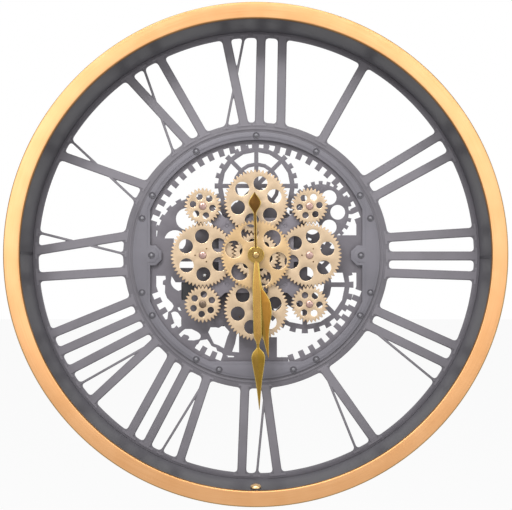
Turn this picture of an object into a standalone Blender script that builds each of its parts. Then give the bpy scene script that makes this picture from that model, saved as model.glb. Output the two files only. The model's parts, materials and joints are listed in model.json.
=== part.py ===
"""Gear wall clock.

The frame is in metres, +Z up. The wall is the plane y = 0 and the dial faces -Y.
The origin is on the axis of the hands, on the back of the movement.
"""

import math

import bmesh
import bpy
from mathutils import Vector
from mathutils.geometry import delaunay_2d_cdt

# Gaps between pieces
SEAT = 0.0003
SHAFT_CLEARANCE = 0.00004
PRESS_CLEARANCE = 0.00002

# Rim: outer hoop and inner liner
HOOP_RADIUS = 0.300
HOOP_SHEET = 0.0018
HOOP_FACE_WIDTH = 0.0197
HOOP_EDGE_ROUNDING = 0.0016
HOOP_LIP_DEPTH = 0.003
LINER_SHEET = 0.0015
LINER_TAPER = 0.0028
LINER_FRONT_RADIUS = HOOP_RADIUS - HOOP_FACE_WIDTH - SEAT
LINER_DIAL_RADIUS = LINER_FRONT_RADIUS - LINER_TAPER
LINER_LEDGE_WIDTH = 0.006
LINER_FLANGE_SETBACK = 0.0015
DIAL_RECESS = 0.050

# Dial plate
DIAL_THICK = 0.002
DIAL_RIM_WIDTH = 0.0072
DIAL_RIM_INNER_RADIUS = LINER_DIAL_RADIUS - DIAL_RIM_WIDTH
NUMERAL_FOOT_RADIUS = 0.165
DIAL_BORE_RADIUS = 0.144
NUMERAL_OVERLAP = 0.003
STROKE_WIDTH = 0.0112
HAIRLINE_WIDTH = 0.003
V_HALF_SPREAD = 0.013
X_HALF_SPREAD = 0.0115
WINDOW_CORNER = 0.0035

# Each numeral's letters, with their places to the right of its middle at its head and at its foot
NUMERALS = (
    (("I", -0.002, -0.001),),
    (("I", -0.0154, -0.0130), ("I", 0.0129, 0.0100)),
    (("I", -0.0291, -0.0222), ("I", 0.0006, 0.0006), ("I", 0.0254, 0.0217)),
    (("I", -0.0265, -0.0149), ("V", 0.0113, 0.0062)),
    (("V", 0.0003, -0.0022),),
    (("V", -0.0136, -0.0114), ("I", 0.0182, 0.0140)),
    (("V", -0.0326, -0.0226), ("I", 0.0005, 0.0051), ("I", 0.0252, 0.0275)),
    (("V", -0.0418, -0.0298), ("I", -0.0074, -0.0125), ("I", 0.0187, 0.0070), ("I", 0.0430, 0.0280)),
    (("I", -0.0267, -0.0198), ("X", 0.0174, 0.0130)),
    (("X", -0.0024, -0.0049),),
    (("X", -0.0159, -0.0141), ("I", 0.0187, 0.0182)),
    (("X", -0.0264, -0.0264), ("I", 0.0062, 0.0037), ("I", 0.0325, 0.0306)),
)

# Centre band and its rivets
BAND_THICK = 0.0015
BAND_RADIUS = 0.153
BAND_BORE_RADIUS = 0.143
BAND_CHORD = 0.1312
BAND_SEGMENT_RADIUS = 0.148
BOSS_PLACE = 0.1296
BOSS_RADIUS = 0.0134
RIVET_CIRCLE_RADIUS = 0.1485
RIVET_HEAD_RADIUS = 0.0043
RIVET_HEAD_HEIGHT = 0.0019
RIVET_SHANK_RADIUS = 0.0015
RIVET_TAIL = 0.0008
RIVET_CLOCK_DEGREES = (0, 30, 60, 72, 108, 120, 150, 162, 198, 210, 240, 252, 288, 300, 330)

# Back plate
BACK_PLATE_THICK = 0.0015
BACK_PLATE_RADIUS = 0.158
INNER_TOOTH_COUNT = 60
INNER_TOOTH_ROOT = 0.138
INNER_TOOTH_TIP = 0.130
INNER_TOOTH_CLOCK_DEGREES = 5.2
PLATE_REACH = 0.145
SIDE_EDGE = 0.1243
SIDE_EDGE_HALF_HEIGHT = 0.041
FOOT_EDGE = 0.1263
FOOT_EDGE_HALF_WIDTH = 0.040


# Straight-edged parts of the back plate, each from its lower left to its upper right corner
RIGHT_TAB = ((0.098, -0.0214), (0.145, 0.0253))
LEFT_TAB = ((-0.145, -0.0253), (-0.1025, 0.0214))
CROSS_BAR = ((-0.103, -0.0075), (0.103, 0.0085))
FOOT_BLOCK = ((-0.0215, -0.145), (0.0257, -0.1014))
FOOT_BAR = ((-0.0215, -0.1014), (0.012, 0.0))
FOOT_BAR_SIDE = ((-0.030, -0.090), (0.012, 0.0))
SLOT = ((-0.097, -0.0153), (-0.072, -0.0075))
CENTRE_HALF_WIDTH = 0.0635
CENTRE_HALF_HEIGHT = 0.066
CENTRE_CORNER = 0.092
WHEEL_TOOTH_COUNT = 24
WHEEL_SPOKE_COUNT = 8
SQUARE_TOOTH_SHARE = 0.5
TOP_WHEEL = {
    "centre": (0.0, 0.0865),
    "radius": 0.0519,
    "tooth_depth": 0.0043,
    "rim_width": 0.0053,
    "ring_inner": 0.0247,
    "ring_outer": 0.0294,
    "spoke_width": 0.0053,
}
RIGHT_WHEEL = {
    "centre": (0.0603, -0.0362),
    "radius": 0.0606,
    "tooth_depth": 0.0051,
    "rim_width": 0.0055,
    "ring_inner": 0.0,
    "ring_outer": 0.0335,
    "spoke_width": 0.006,
}

# Curved windows in the middle of the right wheel: inner and outer radius, angles in degrees
RIGHT_WHEEL_WINDOW = (0.012, 0.024)
RIGHT_WHEEL_WINDOW_HALF_ANGLE = 22
RIGHT_WHEEL_WINDOW_MIDDLES = (70, 160, 250, 340)

# The two discs with round windows, with the angles of a tooth and of the windows in degrees
UPPER_RIGHT_DISC = {
    "centre": (0.080, 0.0538),
    "radius": 0.039,
    "tooth_depth": 0.004,
    "tooth_angle": 0.0,
    "window_circle": 0.0212,
    "window_radius": 0.0092,
    "window_angles": (0, 60, 120, 180, 240, 300),
}
UPPER_LEFT_DISC = {
    "centre": (-0.0699, 0.0192),
    "radius": 0.057,
    "tooth_depth": 0.003,
    "tooth_angle": -1.0,
    "window_circle": 0.0311,
    "window_radius": 0.0135,
    "window_angles": (62.2, 122.2, 182.2),
}

# Outline of the lower left part of the back plate, and its windows
LOWER_LEFT_OUTLINE = (
    (-0.1135, -0.020),
    (-0.1125, -0.0295),
    (-0.1160, -0.0313),
    (-0.1163, -0.0360),
    (-0.1133, -0.0370),
    (-0.1135, -0.0460),
    (-0.1108, -0.0530),
    (-0.1046, -0.0592),
    (-0.1028, -0.0627),
    (-0.1052, -0.0675),
    (-0.1095, -0.0700),
    (-0.1105, -0.0790),
    (-0.1180, -0.0820),
    (-0.0900, -0.1130),
    (-0.0790, -0.1130),
    (-0.0760, -0.1100),
    (-0.0725, -0.1104),
    (-0.0693, -0.1055),
    (-0.0610, -0.1041),
    (-0.0576, -0.1089),
    (-0.0555, -0.1124),
    (-0.0500, -0.1145),
    (-0.0486, -0.1186),
    (-0.0431, -0.1207),
    (-0.0410, -0.1241),
    (-0.0280, -0.1248),
    (-0.0270, -0.1300),
    (-0.0200, -0.1300),
    (-0.0200, -0.020),
)
LOWER_LEFT_WINDOWS = (
    (
        (-0.1052, -0.0257),
        (-0.1063, -0.0319),
        (-0.1052, -0.0367),
        (-0.1018, -0.0409),
        (-0.0970, -0.0439),
        (-0.0930, -0.0425),
        (-0.0930, -0.0552),
        (-0.0800, -0.0558),
        (-0.0765, -0.0333),
        (-0.1004, -0.0333),
    ),
    ((-0.0977, -0.0648), (-0.0963, -0.0683), (-0.0932, -0.0683), (-0.0956, -0.0641)),
    (
        (-0.1059, -0.0713),
        (-0.1039, -0.0782),
        (-0.1018, -0.0840),
        (-0.1059, -0.0864),
        (-0.1052, -0.0899),
        (-0.1022, -0.0899),
        (-0.0993, -0.0867),
        (-0.0970, -0.0895),
        (-0.0935, -0.0878),
        (-0.0924, -0.0823),
        (-0.0935, -0.0768),
        (-0.0972, -0.0713),
        (-0.1018, -0.0696),
    ),
    (
        (-0.0963, -0.0982),
        (-0.0935, -0.1014),
        (-0.0900, -0.0978),
        (-0.0845, -0.0996),
        (-0.0831, -0.1023),
        (-0.0852, -0.1051),
        (-0.0776, -0.1055),
        (-0.0714, -0.1040),
        (-0.0693, -0.1016),
        (-0.0696, -0.0982),
        (-0.0735, -0.0947),
        (-0.0804, -0.0913),
        (-0.0880, -0.0913),
        (-0.0928, -0.0947),
    ),
    (
        (-0.0597, -0.0954),
        (-0.0583, -0.0982),
        (-0.0562, -0.1023),
        (-0.0528, -0.1092),
        (-0.0472, -0.1113),
        (-0.0403, -0.1152),
        (-0.0383, -0.1085),
        (-0.0362, -0.1016),
        (-0.0334, -0.0947),
        (-0.0383, -0.0892),
        (-0.0401, -0.0862),
        (-0.0465, -0.0899),
        (-0.0500, -0.0892),
        (-0.0569, -0.0892),
    ),
    (
        (-0.0300, -0.1196),
        (-0.0215, -0.1203),
        (-0.0215, -0.0950),
        (-0.0235, -0.0950),
        (-0.0265, -0.1100),
    ),
)

# Movement and drive, two cases of one size
CASE_WIDTH = 0.056
CASE_DEPTH = 0.0159
CASE_WALL = 0.0015
CELL_RADIUS = 0.007
CELL_LENGTH = 0.0495
CELL_TIP_LENGTH = 0.001
CELL_TIP_RADIUS = 0.0027
CELL_BAY_HEIGHT = 0.015
KNOB_PLACE = (-0.014, 0.012)
KNOB_RADIUS = 0.006
KNOB_HEIGHT = 0.0036
KNOB_RECESS = 0.0004
KNOB_STEM_RADIUS = 0.0015

# Shafts on the axis of the hands, from the inside out
MINUTE_SHAFT_RADIUS = 0.0015
HOUR_TUBE_RADIUS = 0.0026
BUSH_RADIUS = 0.004
BUSH_HEAD_RADIUS = 0.007
BUSH_HEAD_THICK = 0.0012

# Gear work
TOOTH_MODULE = 0.00154
FRONT_MODULE = 0.0014
TOOTH_ADDENDUM = 0.65
TOOTH_DEDENDUM = 1.7
TOOTH_TIP_WIDTH = 0.7
PINION_TEETH = 35
LARGE_TEETH = 50
SMALL_TEETH = 28
FRONT_TEETH = 60
PINION_PHASE = 0.0
GEAR_THICK = 0.002
FRONT_GEAR_THICK = 0.0015
GEAR_PLATE_THICK = 0.0015
POST_LENGTH = 0.0102
POST_RADIUS = 0.0035
POST_STUB_RADIUS = 0.002
POST_PLACE = 0.036
GEAR_STAND_OFF = 0.0017
PINION_FRONT_REACH = 0.0032
PIN_RADIUS = 0.0025
PIN_HEAD_RADIUS = 0.0046
PIN_HEAD_HEIGHT = 0.0018
PIN_TAIL = 0.0008
GEAR_PLATE_EAR_RADIUS = 0.009
GEAR_PLATE_ARM_WIDTH = 0.0162
GEAR_PLATE_MIDDLE_HALF_WIDTH = 0.046

# Holes in the gears: the radius of their circle, and their own radius
GEAR_HOLE_COUNT = 6
LARGE_HOLES = (0.0233, 0.0087)
SMALL_HOLES = (0.0122, 0.0041)
PINION_HOLES = (0.0157, 0.005)
FRONT_HOLES = (0.028, 0.0107)
FRONT_HOLE_CLOCK_DEGREES = 44.5

# Hands, each station a distance from the axis with the half width there
HAND_HUB_RADIUS = 0.010
HAND_THICK = 0.001
HAND_RIDGE = 0.0012
HOUR_HAND_LIFT = 0.006
MINUTE_HAND_LIFT = 0.0022
NUT_HEIGHT = 0.0028
NUT_RADIUS = 0.0042
MINUTE_STATIONS = (
    (0.008, 0.0023),
    (0.044, 0.0050),
    (0.096, 0.0050),
    (0.108, 0.0017),
    (0.113, 0.0019),
    (0.117, 0.0058),
    (0.124, 0.0082),
    (0.134, 0.0070),
    (0.155, 0.0036),
    (0.187, 0.0003),
)
TAIL_STATIONS = ((0.008, 0.0016), (0.0495, 0.0016), (0.063, 0.0076), (0.076, 0.0003))
HOUR_STATIONS = (
    (0.008, 0.0024),
    (0.040, 0.0026),
    (0.048, 0.0065),
    (0.060, 0.0107),
    (0.072, 0.0105),
    (0.092, 0.0052),
    (0.126, 0.0003),
)
MINUTE_HAND_CLOCK_DEGREES = 178.7
HOUR_HAND_CLOCK_DEGREES = 173.1

# Screw at the foot of the rim, and the hanger at its top
SCREW_HEAD_RADIUS = 0.0065
SCREW_HEAD_HEIGHT = 0.0045
SCREW_SHANK_RADIUS = 0.002
SCREW_SHANK_LENGTH = 0.008
SCREW_SETBACK = 0.0105
HANGER_HALF_WIDTH = 0.030
HANGER_HEIGHT = 0.017
HANGER_INSET = 0.0013
HANGER_LOW = LINER_DIAL_RADIUS + HANGER_INSET
HANGER_HIGH = HANGER_LOW + HANGER_HEIGHT
HANGER_SHEET = 0.0012
KEYHOLE_RADIUS = 0.0045
KEYHOLE_RISE = 0.007
KEYHOLE_PLACE = HANGER_LOW + KEYHOLE_RISE
KEYHOLE_SLOT_HALF_WIDTH = 0.0022
KEYHOLE_SLOT_LENGTH = 0.006
KEYHOLE_SLOT_TOP = KEYHOLE_PLACE + KEYHOLE_SLOT_LENGTH

# How many sides the round shapes have
RIM_SIDES = 60
DISC_SIDES = 24
WHEEL_SIDES = 16
TUBE_SIDES = 12
HOLE_SIDES = 8
PIN_SIDES = 8
RIVET_HOLE_SIDES = 6
CORNER_STEPS = 2
ARC_STEPS = 3
DOME_STEPS = 3
DOME_FLAT_DEGREES = 30
SHARP_DEGREES = 35
TURN = math.tau

# Tolerances of the flat shapes
MESH_TOLERANCE = 1e-7
CORNER_TURN = math.radians(25)
CORNER_SHARE = 0.45
STRAIGHT_TURN = math.radians(0.3)
ADD = True
CUT = False

# Depths, from the wall to the front
BACK_PLATE_REAR = -(CASE_DEPTH + SEAT)
BACK_PLATE_FRONT = BACK_PLATE_REAR - BACK_PLATE_THICK
DIAL_REAR = BACK_PLATE_FRONT - SEAT
DIAL_FRONT = DIAL_REAR - DIAL_THICK
BAND_REAR = DIAL_FRONT - SEAT
BAND_FRONT = BAND_REAR - BAND_THICK
HOOP_FRONT = DIAL_FRONT - DIAL_RECESS
POST_FRONT = BACK_PLATE_FRONT - SEAT - POST_LENGTH
GEAR_PLATE_REAR = POST_FRONT - SEAT
GEAR_PLATE_FRONT = GEAR_PLATE_REAR - GEAR_PLATE_THICK
GEAR_REAR = GEAR_PLATE_FRONT - GEAR_STAND_OFF
GEAR_FRONT = GEAR_REAR - GEAR_THICK
PINION_FRONT = GEAR_FRONT - PINION_FRONT_REACH
FRONT_GEAR_REAR = PINION_FRONT - SEAT
FRONT_GEAR_FRONT = FRONT_GEAR_REAR - FRONT_GEAR_THICK
BUSH_FRONT = FRONT_GEAR_FRONT - SEAT - BUSH_HEAD_THICK
HOUR_HAND_REAR = FRONT_GEAR_FRONT - HOUR_HAND_LIFT
HOUR_HAND_FRONT = HOUR_HAND_REAR - HAND_THICK
MINUTE_HAND_REAR = HOUR_HAND_FRONT - MINUTE_HAND_LIFT
MINUTE_HAND_FRONT = MINUTE_HAND_REAR - HAND_THICK
NUT_REAR = MINUTE_HAND_FRONT - SEAT
CASE_FLOOR = -CASE_DEPTH + CASE_WALL

# Places of the gears
GEAR_DISTANCE = TOOTH_MODULE * (PINION_TEETH + LARGE_TEETH) / 2
SMALL_DISTANCE = TOOTH_MODULE * (LARGE_TEETH + SMALL_TEETH) / 2
DRIVE_PLACE = (-GEAR_DISTANCE, -SMALL_DISTANCE)


# Materials

def material(name, colour, roughness, metallic):
    made = bpy.data.materials.new(name)
    made.use_nodes = True
    shader = made.node_tree.nodes["Principled BSDF"]
    shader.inputs["Base Color"].default_value = (*colour, 1.0)
    shader.inputs["Roughness"].default_value = roughness
    shader.inputs["Metallic"].default_value = metallic
    return made


# Outlines, as lists of (x, z) points that run anticlockwise seen from the front

def polar(radius, angle, centre=(0.0, 0.0)):
    return (centre[0] + radius * math.cos(angle), centre[1] + radius * math.sin(angle))


def circle(radius, sides, centre=(0.0, 0.0), phase=0.0):
    return [polar(radius, phase + TURN * i / sides, centre) for i in range(sides)]


def round_hole(radius, clearance, sides, centre=(0.0, 0.0)):
    """A hole whose flats clear a round shaft of this radius."""
    return circle((radius + clearance) / math.cos(math.pi / sides), sides, centre)


def rectangle(low, high):
    return [low, (high[0], low[1]), high, (low[0], high[1])]


def clock_point(radius, degrees):
    angle = math.radians(degrees)
    return (radius * math.sin(angle), radius * math.cos(angle))


def segment(radius, chord, direction, sides):
    """The part of a disc beyond a chord, which faces the given direction."""
    half = math.acos(chord / radius)
    return [polar(radius, direction - half + 2 * half * i / sides) for i in range(sides + 1)]


def gear_outline(teeth, module, phase):
    """A gear with straight flanks and a sharp valley between its teeth. One tooth lies at the phase."""
    pitch_radius = module * teeth / 2
    tip_radius = pitch_radius + TOOTH_ADDENDUM * module
    valley_radius = pitch_radius - TOOTH_DEDENDUM * module
    half_tip = TOOTH_TIP_WIDTH * module / 2 / tip_radius
    points = []
    for i in range(teeth):
        angle = phase + TURN * i / teeth
        points.append(polar(tip_radius, angle - half_tip))
        points.append(polar(tip_radius, angle + half_tip))
        points.append(polar(valley_radius, angle + TURN / teeth / 2))
    return points


def square_teeth(outer, inner, teeth, centre, phase):
    """A wheel outline with square teeth, one of which lies at the phase."""
    points = []
    half = SQUARE_TOOTH_SHARE * TURN / teeth / 2
    for i in range(teeth):
        angle = phase + TURN * i / teeth
        points.append(polar(inner, angle - half, centre))
        points.append(polar(outer, angle - half, centre))
        points.append(polar(outer, angle + half, centre))
        points.append(polar(inner, angle + half, centre))
    return points


def band_of(start, end, width):
    """A straight band of one width from start to end."""
    along = Vector(end) - Vector(start)
    side = Vector((-along.y, along.x)).normalized() * width / 2
    corners = (Vector(start) + side, Vector(start) - side, Vector(end) - side, Vector(end) + side)
    return [tuple(corner) for corner in corners]


def arc_window(inner, outer, middle_degrees, half_degrees, centre, sides):
    start = math.radians(middle_degrees - half_degrees)
    step = math.radians(2 * half_degrees) / sides
    far = [polar(outer, start + step * i, centre) for i in range(sides + 1)]
    near = [polar(inner, start + step * i, centre) for i in range(sides + 1)]
    return far + near[::-1]


def hole_ring(holes, clock_degrees):
    """The holes of a gear, with one of them at the given angle of a clock."""
    ring_radius, radius = holes
    step = 360 / GEAR_HOLE_COUNT
    places = [clock_point(ring_radius, clock_degrees + step * i) for i in range(GEAR_HOLE_COUNT)]
    return [circle(radius, HOLE_SIDES, place) for place in places]


# Flat shapes, added and cut in turn

def signed_area(outline):
    return sum(a[0] * b[1] - b[0] * a[1] for a, b in zip(outline, outline[1:] + outline[:1])) / 2


def triangulated(shapes, creases=()):
    """Points and triangles of the region that is left when each shape is added or cut in turn."""
    points = []
    loops = []
    for _, outline in shapes:
        loops.append(list(range(len(points), len(points) + len(outline))))
        points += outline if signed_area(outline) > 0 else outline[::-1]
    edges = []
    for crease in creases:
        edges += [(len(points) + i, len(points) + i + 1) for i in range(len(crease) - 1)]
        points += [(x, z) for x, z, _ in crease]
    vectors = [Vector(point) for point in points]
    found, _, faces, _, _, sources = delaunay_2d_cdt(vectors, edges, loops, 0, MESH_TOLERANCE, True)
    kept = []
    for face, inside in zip(faces, sources):
        signs = [sign for i, (sign, _) in enumerate(shapes) if i in inside]
        if signs and signs[-1] == ADD:
            kept.append(face)
    return [tuple(point) for point in found], kept


def boundary_loops(points, faces):
    """The loops round a region: anticlockwise outside, clockwise round a hole."""
    sides = {(face[i - 1], face[i]) for face in faces for i in range(len(face))}
    following = {a: b for a, b in sides if (b, a) not in sides}
    loops = []
    while following:
        start, current = following.popitem()
        loop = [start]
        while current != start:
            loop.append(current)
            current = following.pop(current)
        loops.append([points[i] for i in loop])
    return sorted(loops)


def softened(loop, radius):
    """The loop without its idle points, and with arcs of the given radius at its corners."""
    made = []
    for i, point in enumerate(loop):
        corner = Vector(point)
        back = Vector(loop[i - 1]) - corner
        ahead = Vector(loop[(i + 1) % len(loop)]) - corner
        turn = math.pi - back.angle(ahead)
        if turn < STRAIGHT_TURN:
            continue
        if radius == 0 or turn < CORNER_TURN:
            made.append(point)
            continue
        room = CORNER_SHARE * min(back.length, ahead.length)
        reach = min(radius * math.tan(turn / 2), room)
        start = corner + back.normalized() * reach
        end = corner + ahead.normalized() * reach
        for step in range(CORNER_STEPS + 1):
            share = step / CORNER_STEPS
            curve = start * (1 - share) ** 2 + corner * 2 * share * (1 - share) + end * share**2
            made.append(tuple(curve))
    return made


def add_object(name, mesh, finish, location):
    mesh.materials.append(finish)
    mesh.shade_smooth()
    mesh.set_sharp_from_angle(angle=math.radians(SHARP_DEGREES))
    made = bpy.data.objects.new(name, mesh)
    made.location = location
    bpy.context.scene.collection.objects.link(made)
    return made


def finished_mesh(name, bm):
    bmesh.ops.recalc_face_normals(bm, faces=bm.faces)
    mesh = bpy.data.meshes.new(name)
    bm.to_mesh(mesh)
    bm.free()
    return mesh


def sheet(name, shapes, thick, finish, location, corner=0.0, holes=(), creases=()):
    """A flat piece whose front lies at the location's y. A crease lifts the front along a line."""
    loops = [softened(loop, corner) for loop in boundary_loops(*triangulated(shapes))]
    outlines = [(signed_area(loop) > 0, loop) for loop in loops]
    outlines.sort(key=lambda item: not item[0])
    outlines += [(CUT, hole) for hole in holes]
    points, faces = triangulated(outlines, creases)
    lifts = {(round(x, 6), round(z, 6)): lift for crease in creases for x, z, lift in crease}
    bm = bmesh.new()
    verts = [bm.verts.new((x, 0, z)) for x, z in points]
    front = [bm.faces.new([verts[i] for i in face]) for face in faces]
    rear = bmesh.ops.extrude_face_region(bm, geom=front, use_keep_orig=True)["geom"]
    moved = [item for item in rear if isinstance(item, bmesh.types.BMVert)]
    bmesh.ops.translate(bm, verts=moved, vec=(0, thick, 0))
    for vert in verts:
        vert.co.y -= lifts.get((round(vert.co.x, 6), round(vert.co.z, 6)), 0.0)
    loose = [vert for vert in bm.verts if not vert.link_faces]
    bmesh.ops.delete(bm, geom=loose, context="VERTS")
    return add_object(name, finished_mesh(name, bm), finish, location)


def turned(name, profile, sides, finish, location, closed=False):
    """A piece turned about the Y axis from (radius, y) points, with flat ends or closed as a ring."""
    bm = bmesh.new()
    rings = []
    for radius, depth in profile:
        ring = [bm.verts.new((x, depth, z)) for x, z in circle(radius, sides)]
        rings.append(ring)
    if closed:
        rings.append(rings[0])
    else:
        bm.faces.new(rings[0])
        bm.faces.new(rings[-1])
    for near, far in zip(rings, rings[1:]):
        for i in range(sides):
            bm.faces.new((near[i - 1], near[i], far[i], far[i - 1]))
    return add_object(name, finished_mesh(name, bm), finish, location)


def dome(radius, height, seat, steps):
    """The profile of a rounded head with a small flat on top, from that flat to the seat."""
    flat = math.radians(DOME_FLAT_DEGREES)
    points = []
    for i in range(steps + 1):
        angle = flat + (TURN / 4 - flat) * i / steps
        points.append((radius * math.sin(angle), seat - height * math.cos(angle) / math.cos(flat)))
    return points


def block(name, low, high, finish, location=(0.0, 0.0, 0.0)):
    """A box between two corners."""
    bm = bmesh.new()
    bmesh.ops.create_cube(bm, size=1.0)
    size = Vector(high) - Vector(low)
    bmesh.ops.scale(bm, vec=size, verts=bm.verts)
    bmesh.ops.translate(bm, vec=(Vector(low) + Vector(high)) / 2, verts=bm.verts)
    return add_object(name, finished_mesh(name, bm), finish, location)


def cut_away(body, cutter):
    cutter.hide_render = True
    cutter.display_type = "WIRE"
    difference = body.modifiers.new("cut by " + cutter.name, "BOOLEAN")
    difference.operation = "DIFFERENCE"
    difference.object = cutter


# Rim

def outer_hoop(finish):
    edge = HOOP_EDGE_ROUNDING
    inset = edge * (1 - math.cos(TURN / 8))
    inner = HOOP_RADIUS - HOOP_FACE_WIDTH
    under = HOOP_FRONT + HOOP_SHEET
    lip_rear = HOOP_FRONT + HOOP_LIP_DEPTH
    wall = HOOP_RADIUS - HOOP_SHEET
    profile = (
        (HOOP_RADIUS, 0.0),
        (HOOP_RADIUS, HOOP_FRONT + edge),
        (HOOP_RADIUS - inset, HOOP_FRONT + inset),
        (HOOP_RADIUS - edge, HOOP_FRONT),
        (inner, HOOP_FRONT),
        (inner, lip_rear),
        (inner + HOOP_SHEET, lip_rear),
        (inner + HOOP_SHEET, under),
        (wall, under),
        (wall, 0.0),
    )
    return turned("outer_hoop", profile, RIM_SIDES, finish, (0, 0, 0), closed=True)


def liner_radius(depth):
    """Inner radius of the liner's tapered wall at a depth."""
    front = HOOP_FRONT + HOOP_LIP_DEPTH + SEAT
    share = (depth - front) / (DIAL_REAR + SEAT - front)
    return LINER_FRONT_RADIUS + share * (LINER_DIAL_RADIUS - LINER_FRONT_RADIUS)


def inner_liner(finish):
    front = HOOP_FRONT + HOOP_LIP_DEPTH + SEAT
    ledge_front = DIAL_REAR + SEAT
    ledge_rear = ledge_front + LINER_SHEET
    flange_rear = -LINER_FLANGE_SETBACK
    flange_front = flange_rear - LINER_SHEET
    ledge_radius = LINER_DIAL_RADIUS - LINER_LEDGE_WIDTH
    flange_radius = HOOP_RADIUS - HOOP_SHEET - SEAT
    profile = (
        (LINER_FRONT_RADIUS, front),
        (LINER_DIAL_RADIUS, ledge_front),
        (ledge_radius, ledge_front),
        (ledge_radius, ledge_rear),
        (LINER_DIAL_RADIUS, ledge_rear),
        (LINER_DIAL_RADIUS, flange_rear),
        (flange_radius, flange_rear),
        (flange_radius, flange_front),
        (LINER_DIAL_RADIUS + LINER_SHEET, flange_front),
        (LINER_FRONT_RADIUS + LINER_SHEET, front),
    )
    made = turned("inner_liner", profile, RIM_SIDES, finish, (0, 0, 0), closed=True)
    hanger_opening = block(
        "hanger_opening_cutter",
        (-KEYHOLE_RADIUS - LINER_SHEET, flange_front - LINER_SHEET, KEYHOLE_PLACE - KEYHOLE_RADIUS),
        (KEYHOLE_RADIUS + LINER_SHEET, LINER_SHEET, KEYHOLE_SLOT_TOP + KEYHOLE_RADIUS),
        finish,
    )
    cut_away(made, hanger_opening)
    hole_radius = SCREW_SHANK_RADIUS + SEAT
    through = ((hole_radius, -SCREW_SHANK_LENGTH), (hole_radius, SCREW_SHANK_LENGTH))
    depth = HOOP_FRONT + SCREW_SETBACK
    place = (0, depth, -liner_radius(depth))
    screw_hole = turned("screw_hole_cutter", through, PIN_SIDES, finish, place)
    screw_hole.rotation_euler = (-TURN / 4, 0, 0)
    cut_away(made, screw_hole)


def liner_screw(finish):
    """A round-headed screw through the liner at six o'clock, which points at the hands' axis."""
    depth = HOOP_FRONT + SCREW_SETBACK
    seat = liner_radius(depth + SCREW_HEAD_RADIUS) * math.cos(math.pi / RIM_SIDES) - SEAT
    profile = dome(SCREW_HEAD_RADIUS, SCREW_HEAD_HEIGHT, 0.0, DOME_STEPS)
    profile += [(SCREW_SHANK_RADIUS, 0.0), (SCREW_SHANK_RADIUS, SCREW_SHANK_LENGTH)]
    made = turned("liner_screw", profile, PIN_SIDES, finish, (0, depth, -seat))
    made.rotation_euler = (-TURN / 4, 0, 0)


def wall_hanger(finish):
    plate = rectangle((-HANGER_HALF_WIDTH, HANGER_LOW), (HANGER_HALF_WIDTH, HANGER_HIGH))
    slot = rectangle(
        (-KEYHOLE_SLOT_HALF_WIDTH, KEYHOLE_PLACE),
        (KEYHOLE_SLOT_HALF_WIDTH, KEYHOLE_SLOT_TOP),
    )
    shapes = [
        (ADD, plate),
        (CUT, circle(KEYHOLE_RADIUS, TUBE_SIDES, (0.0, KEYHOLE_PLACE))),
        (CUT, slot),
    ]
    front = -LINER_FLANGE_SETBACK + SEAT
    sheet("wall_hanger", shapes, HANGER_SHEET, finish, (0, front, 0))


# Dial

def letter_strokes(letter, head, foot):
    """Each stroke of a letter: its place at the head, its place at the foot, and its width."""
    if letter == "I":
        return ((head, foot, STROKE_WIDTH),)
    if letter == "V":
        return (
            (head - V_HALF_SPREAD, foot, STROKE_WIDTH),
            (head + V_HALF_SPREAD, foot, HAIRLINE_WIDTH),
        )
    return (
        (head - X_HALF_SPREAD, foot + X_HALF_SPREAD, STROKE_WIDTH),
        (head + X_HALF_SPREAD, foot - X_HALF_SPREAD, HAIRLINE_WIDTH),
    )


def numeral_shapes():
    head_radius = DIAL_RIM_INNER_RADIUS + NUMERAL_OVERLAP
    foot_radius = NUMERAL_FOOT_RADIUS - NUMERAL_OVERLAP
    shapes = []
    for hour, letters in enumerate(NUMERALS, start=1):
        middle = math.radians(30 * hour)
        for letter, head, foot in letters:
            for head_place, foot_place, width in letter_strokes(letter, head, foot):
                start = clock_point(head_radius, math.degrees(middle + head_place / head_radius))
                end = clock_point(foot_radius, math.degrees(middle + foot_place / foot_radius))
                shapes.append((ADD, band_of(start, end, width)))
    return shapes


def rivet_places():
    ring = [clock_point(RIVET_CIRCLE_RADIUS, degrees) for degrees in RIVET_CLOCK_DEGREES]
    return ring + [(-BOSS_PLACE, 0.0), (BOSS_PLACE, 0.0)]


def pressed_holes(radius, places):
    return [round_hole(radius, PRESS_CLEARANCE, RIVET_HOLE_SIDES, place) for place in places]


def rivet_holes():
    return pressed_holes(RIVET_SHANK_RADIUS, rivet_places())


def dial_plate(finish):
    shapes = [
        (ADD, circle(LINER_DIAL_RADIUS - SEAT, RIM_SIDES)),
        (CUT, circle(DIAL_RIM_INNER_RADIUS, RIM_SIDES)),
        (ADD, circle(NUMERAL_FOOT_RADIUS, RIM_SIDES)),
        (CUT, circle(DIAL_BORE_RADIUS, RIM_SIDES)),
    ]
    shapes += numeral_shapes()
    holes = rivet_holes()[: len(RIVET_CLOCK_DEGREES)]
    sheet("dial_plate", shapes, DIAL_THICK, finish, (0, DIAL_FRONT, 0), corner=WINDOW_CORNER, holes=holes)


def centre_band(finish):
    shapes = [(ADD, circle(BAND_RADIUS, RIM_SIDES)), (CUT, circle(BAND_BORE_RADIUS, RIM_SIDES))]
    for direction in (0, TURN / 2, -TURN / 4):
        shapes.append((ADD, segment(BAND_SEGMENT_RADIUS, BAND_CHORD, direction, HOLE_SIDES)))
    for side in (-1, 1):
        boss = circle(BOSS_RADIUS, HOLE_SIDES, (side * BOSS_PLACE, 0.0), math.pi / HOLE_SIDES)
        shapes.append((ADD, boss))
    sheet("centre_band", shapes, BAND_THICK, finish, (0, BAND_FRONT, 0), holes=rivet_holes())


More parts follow.
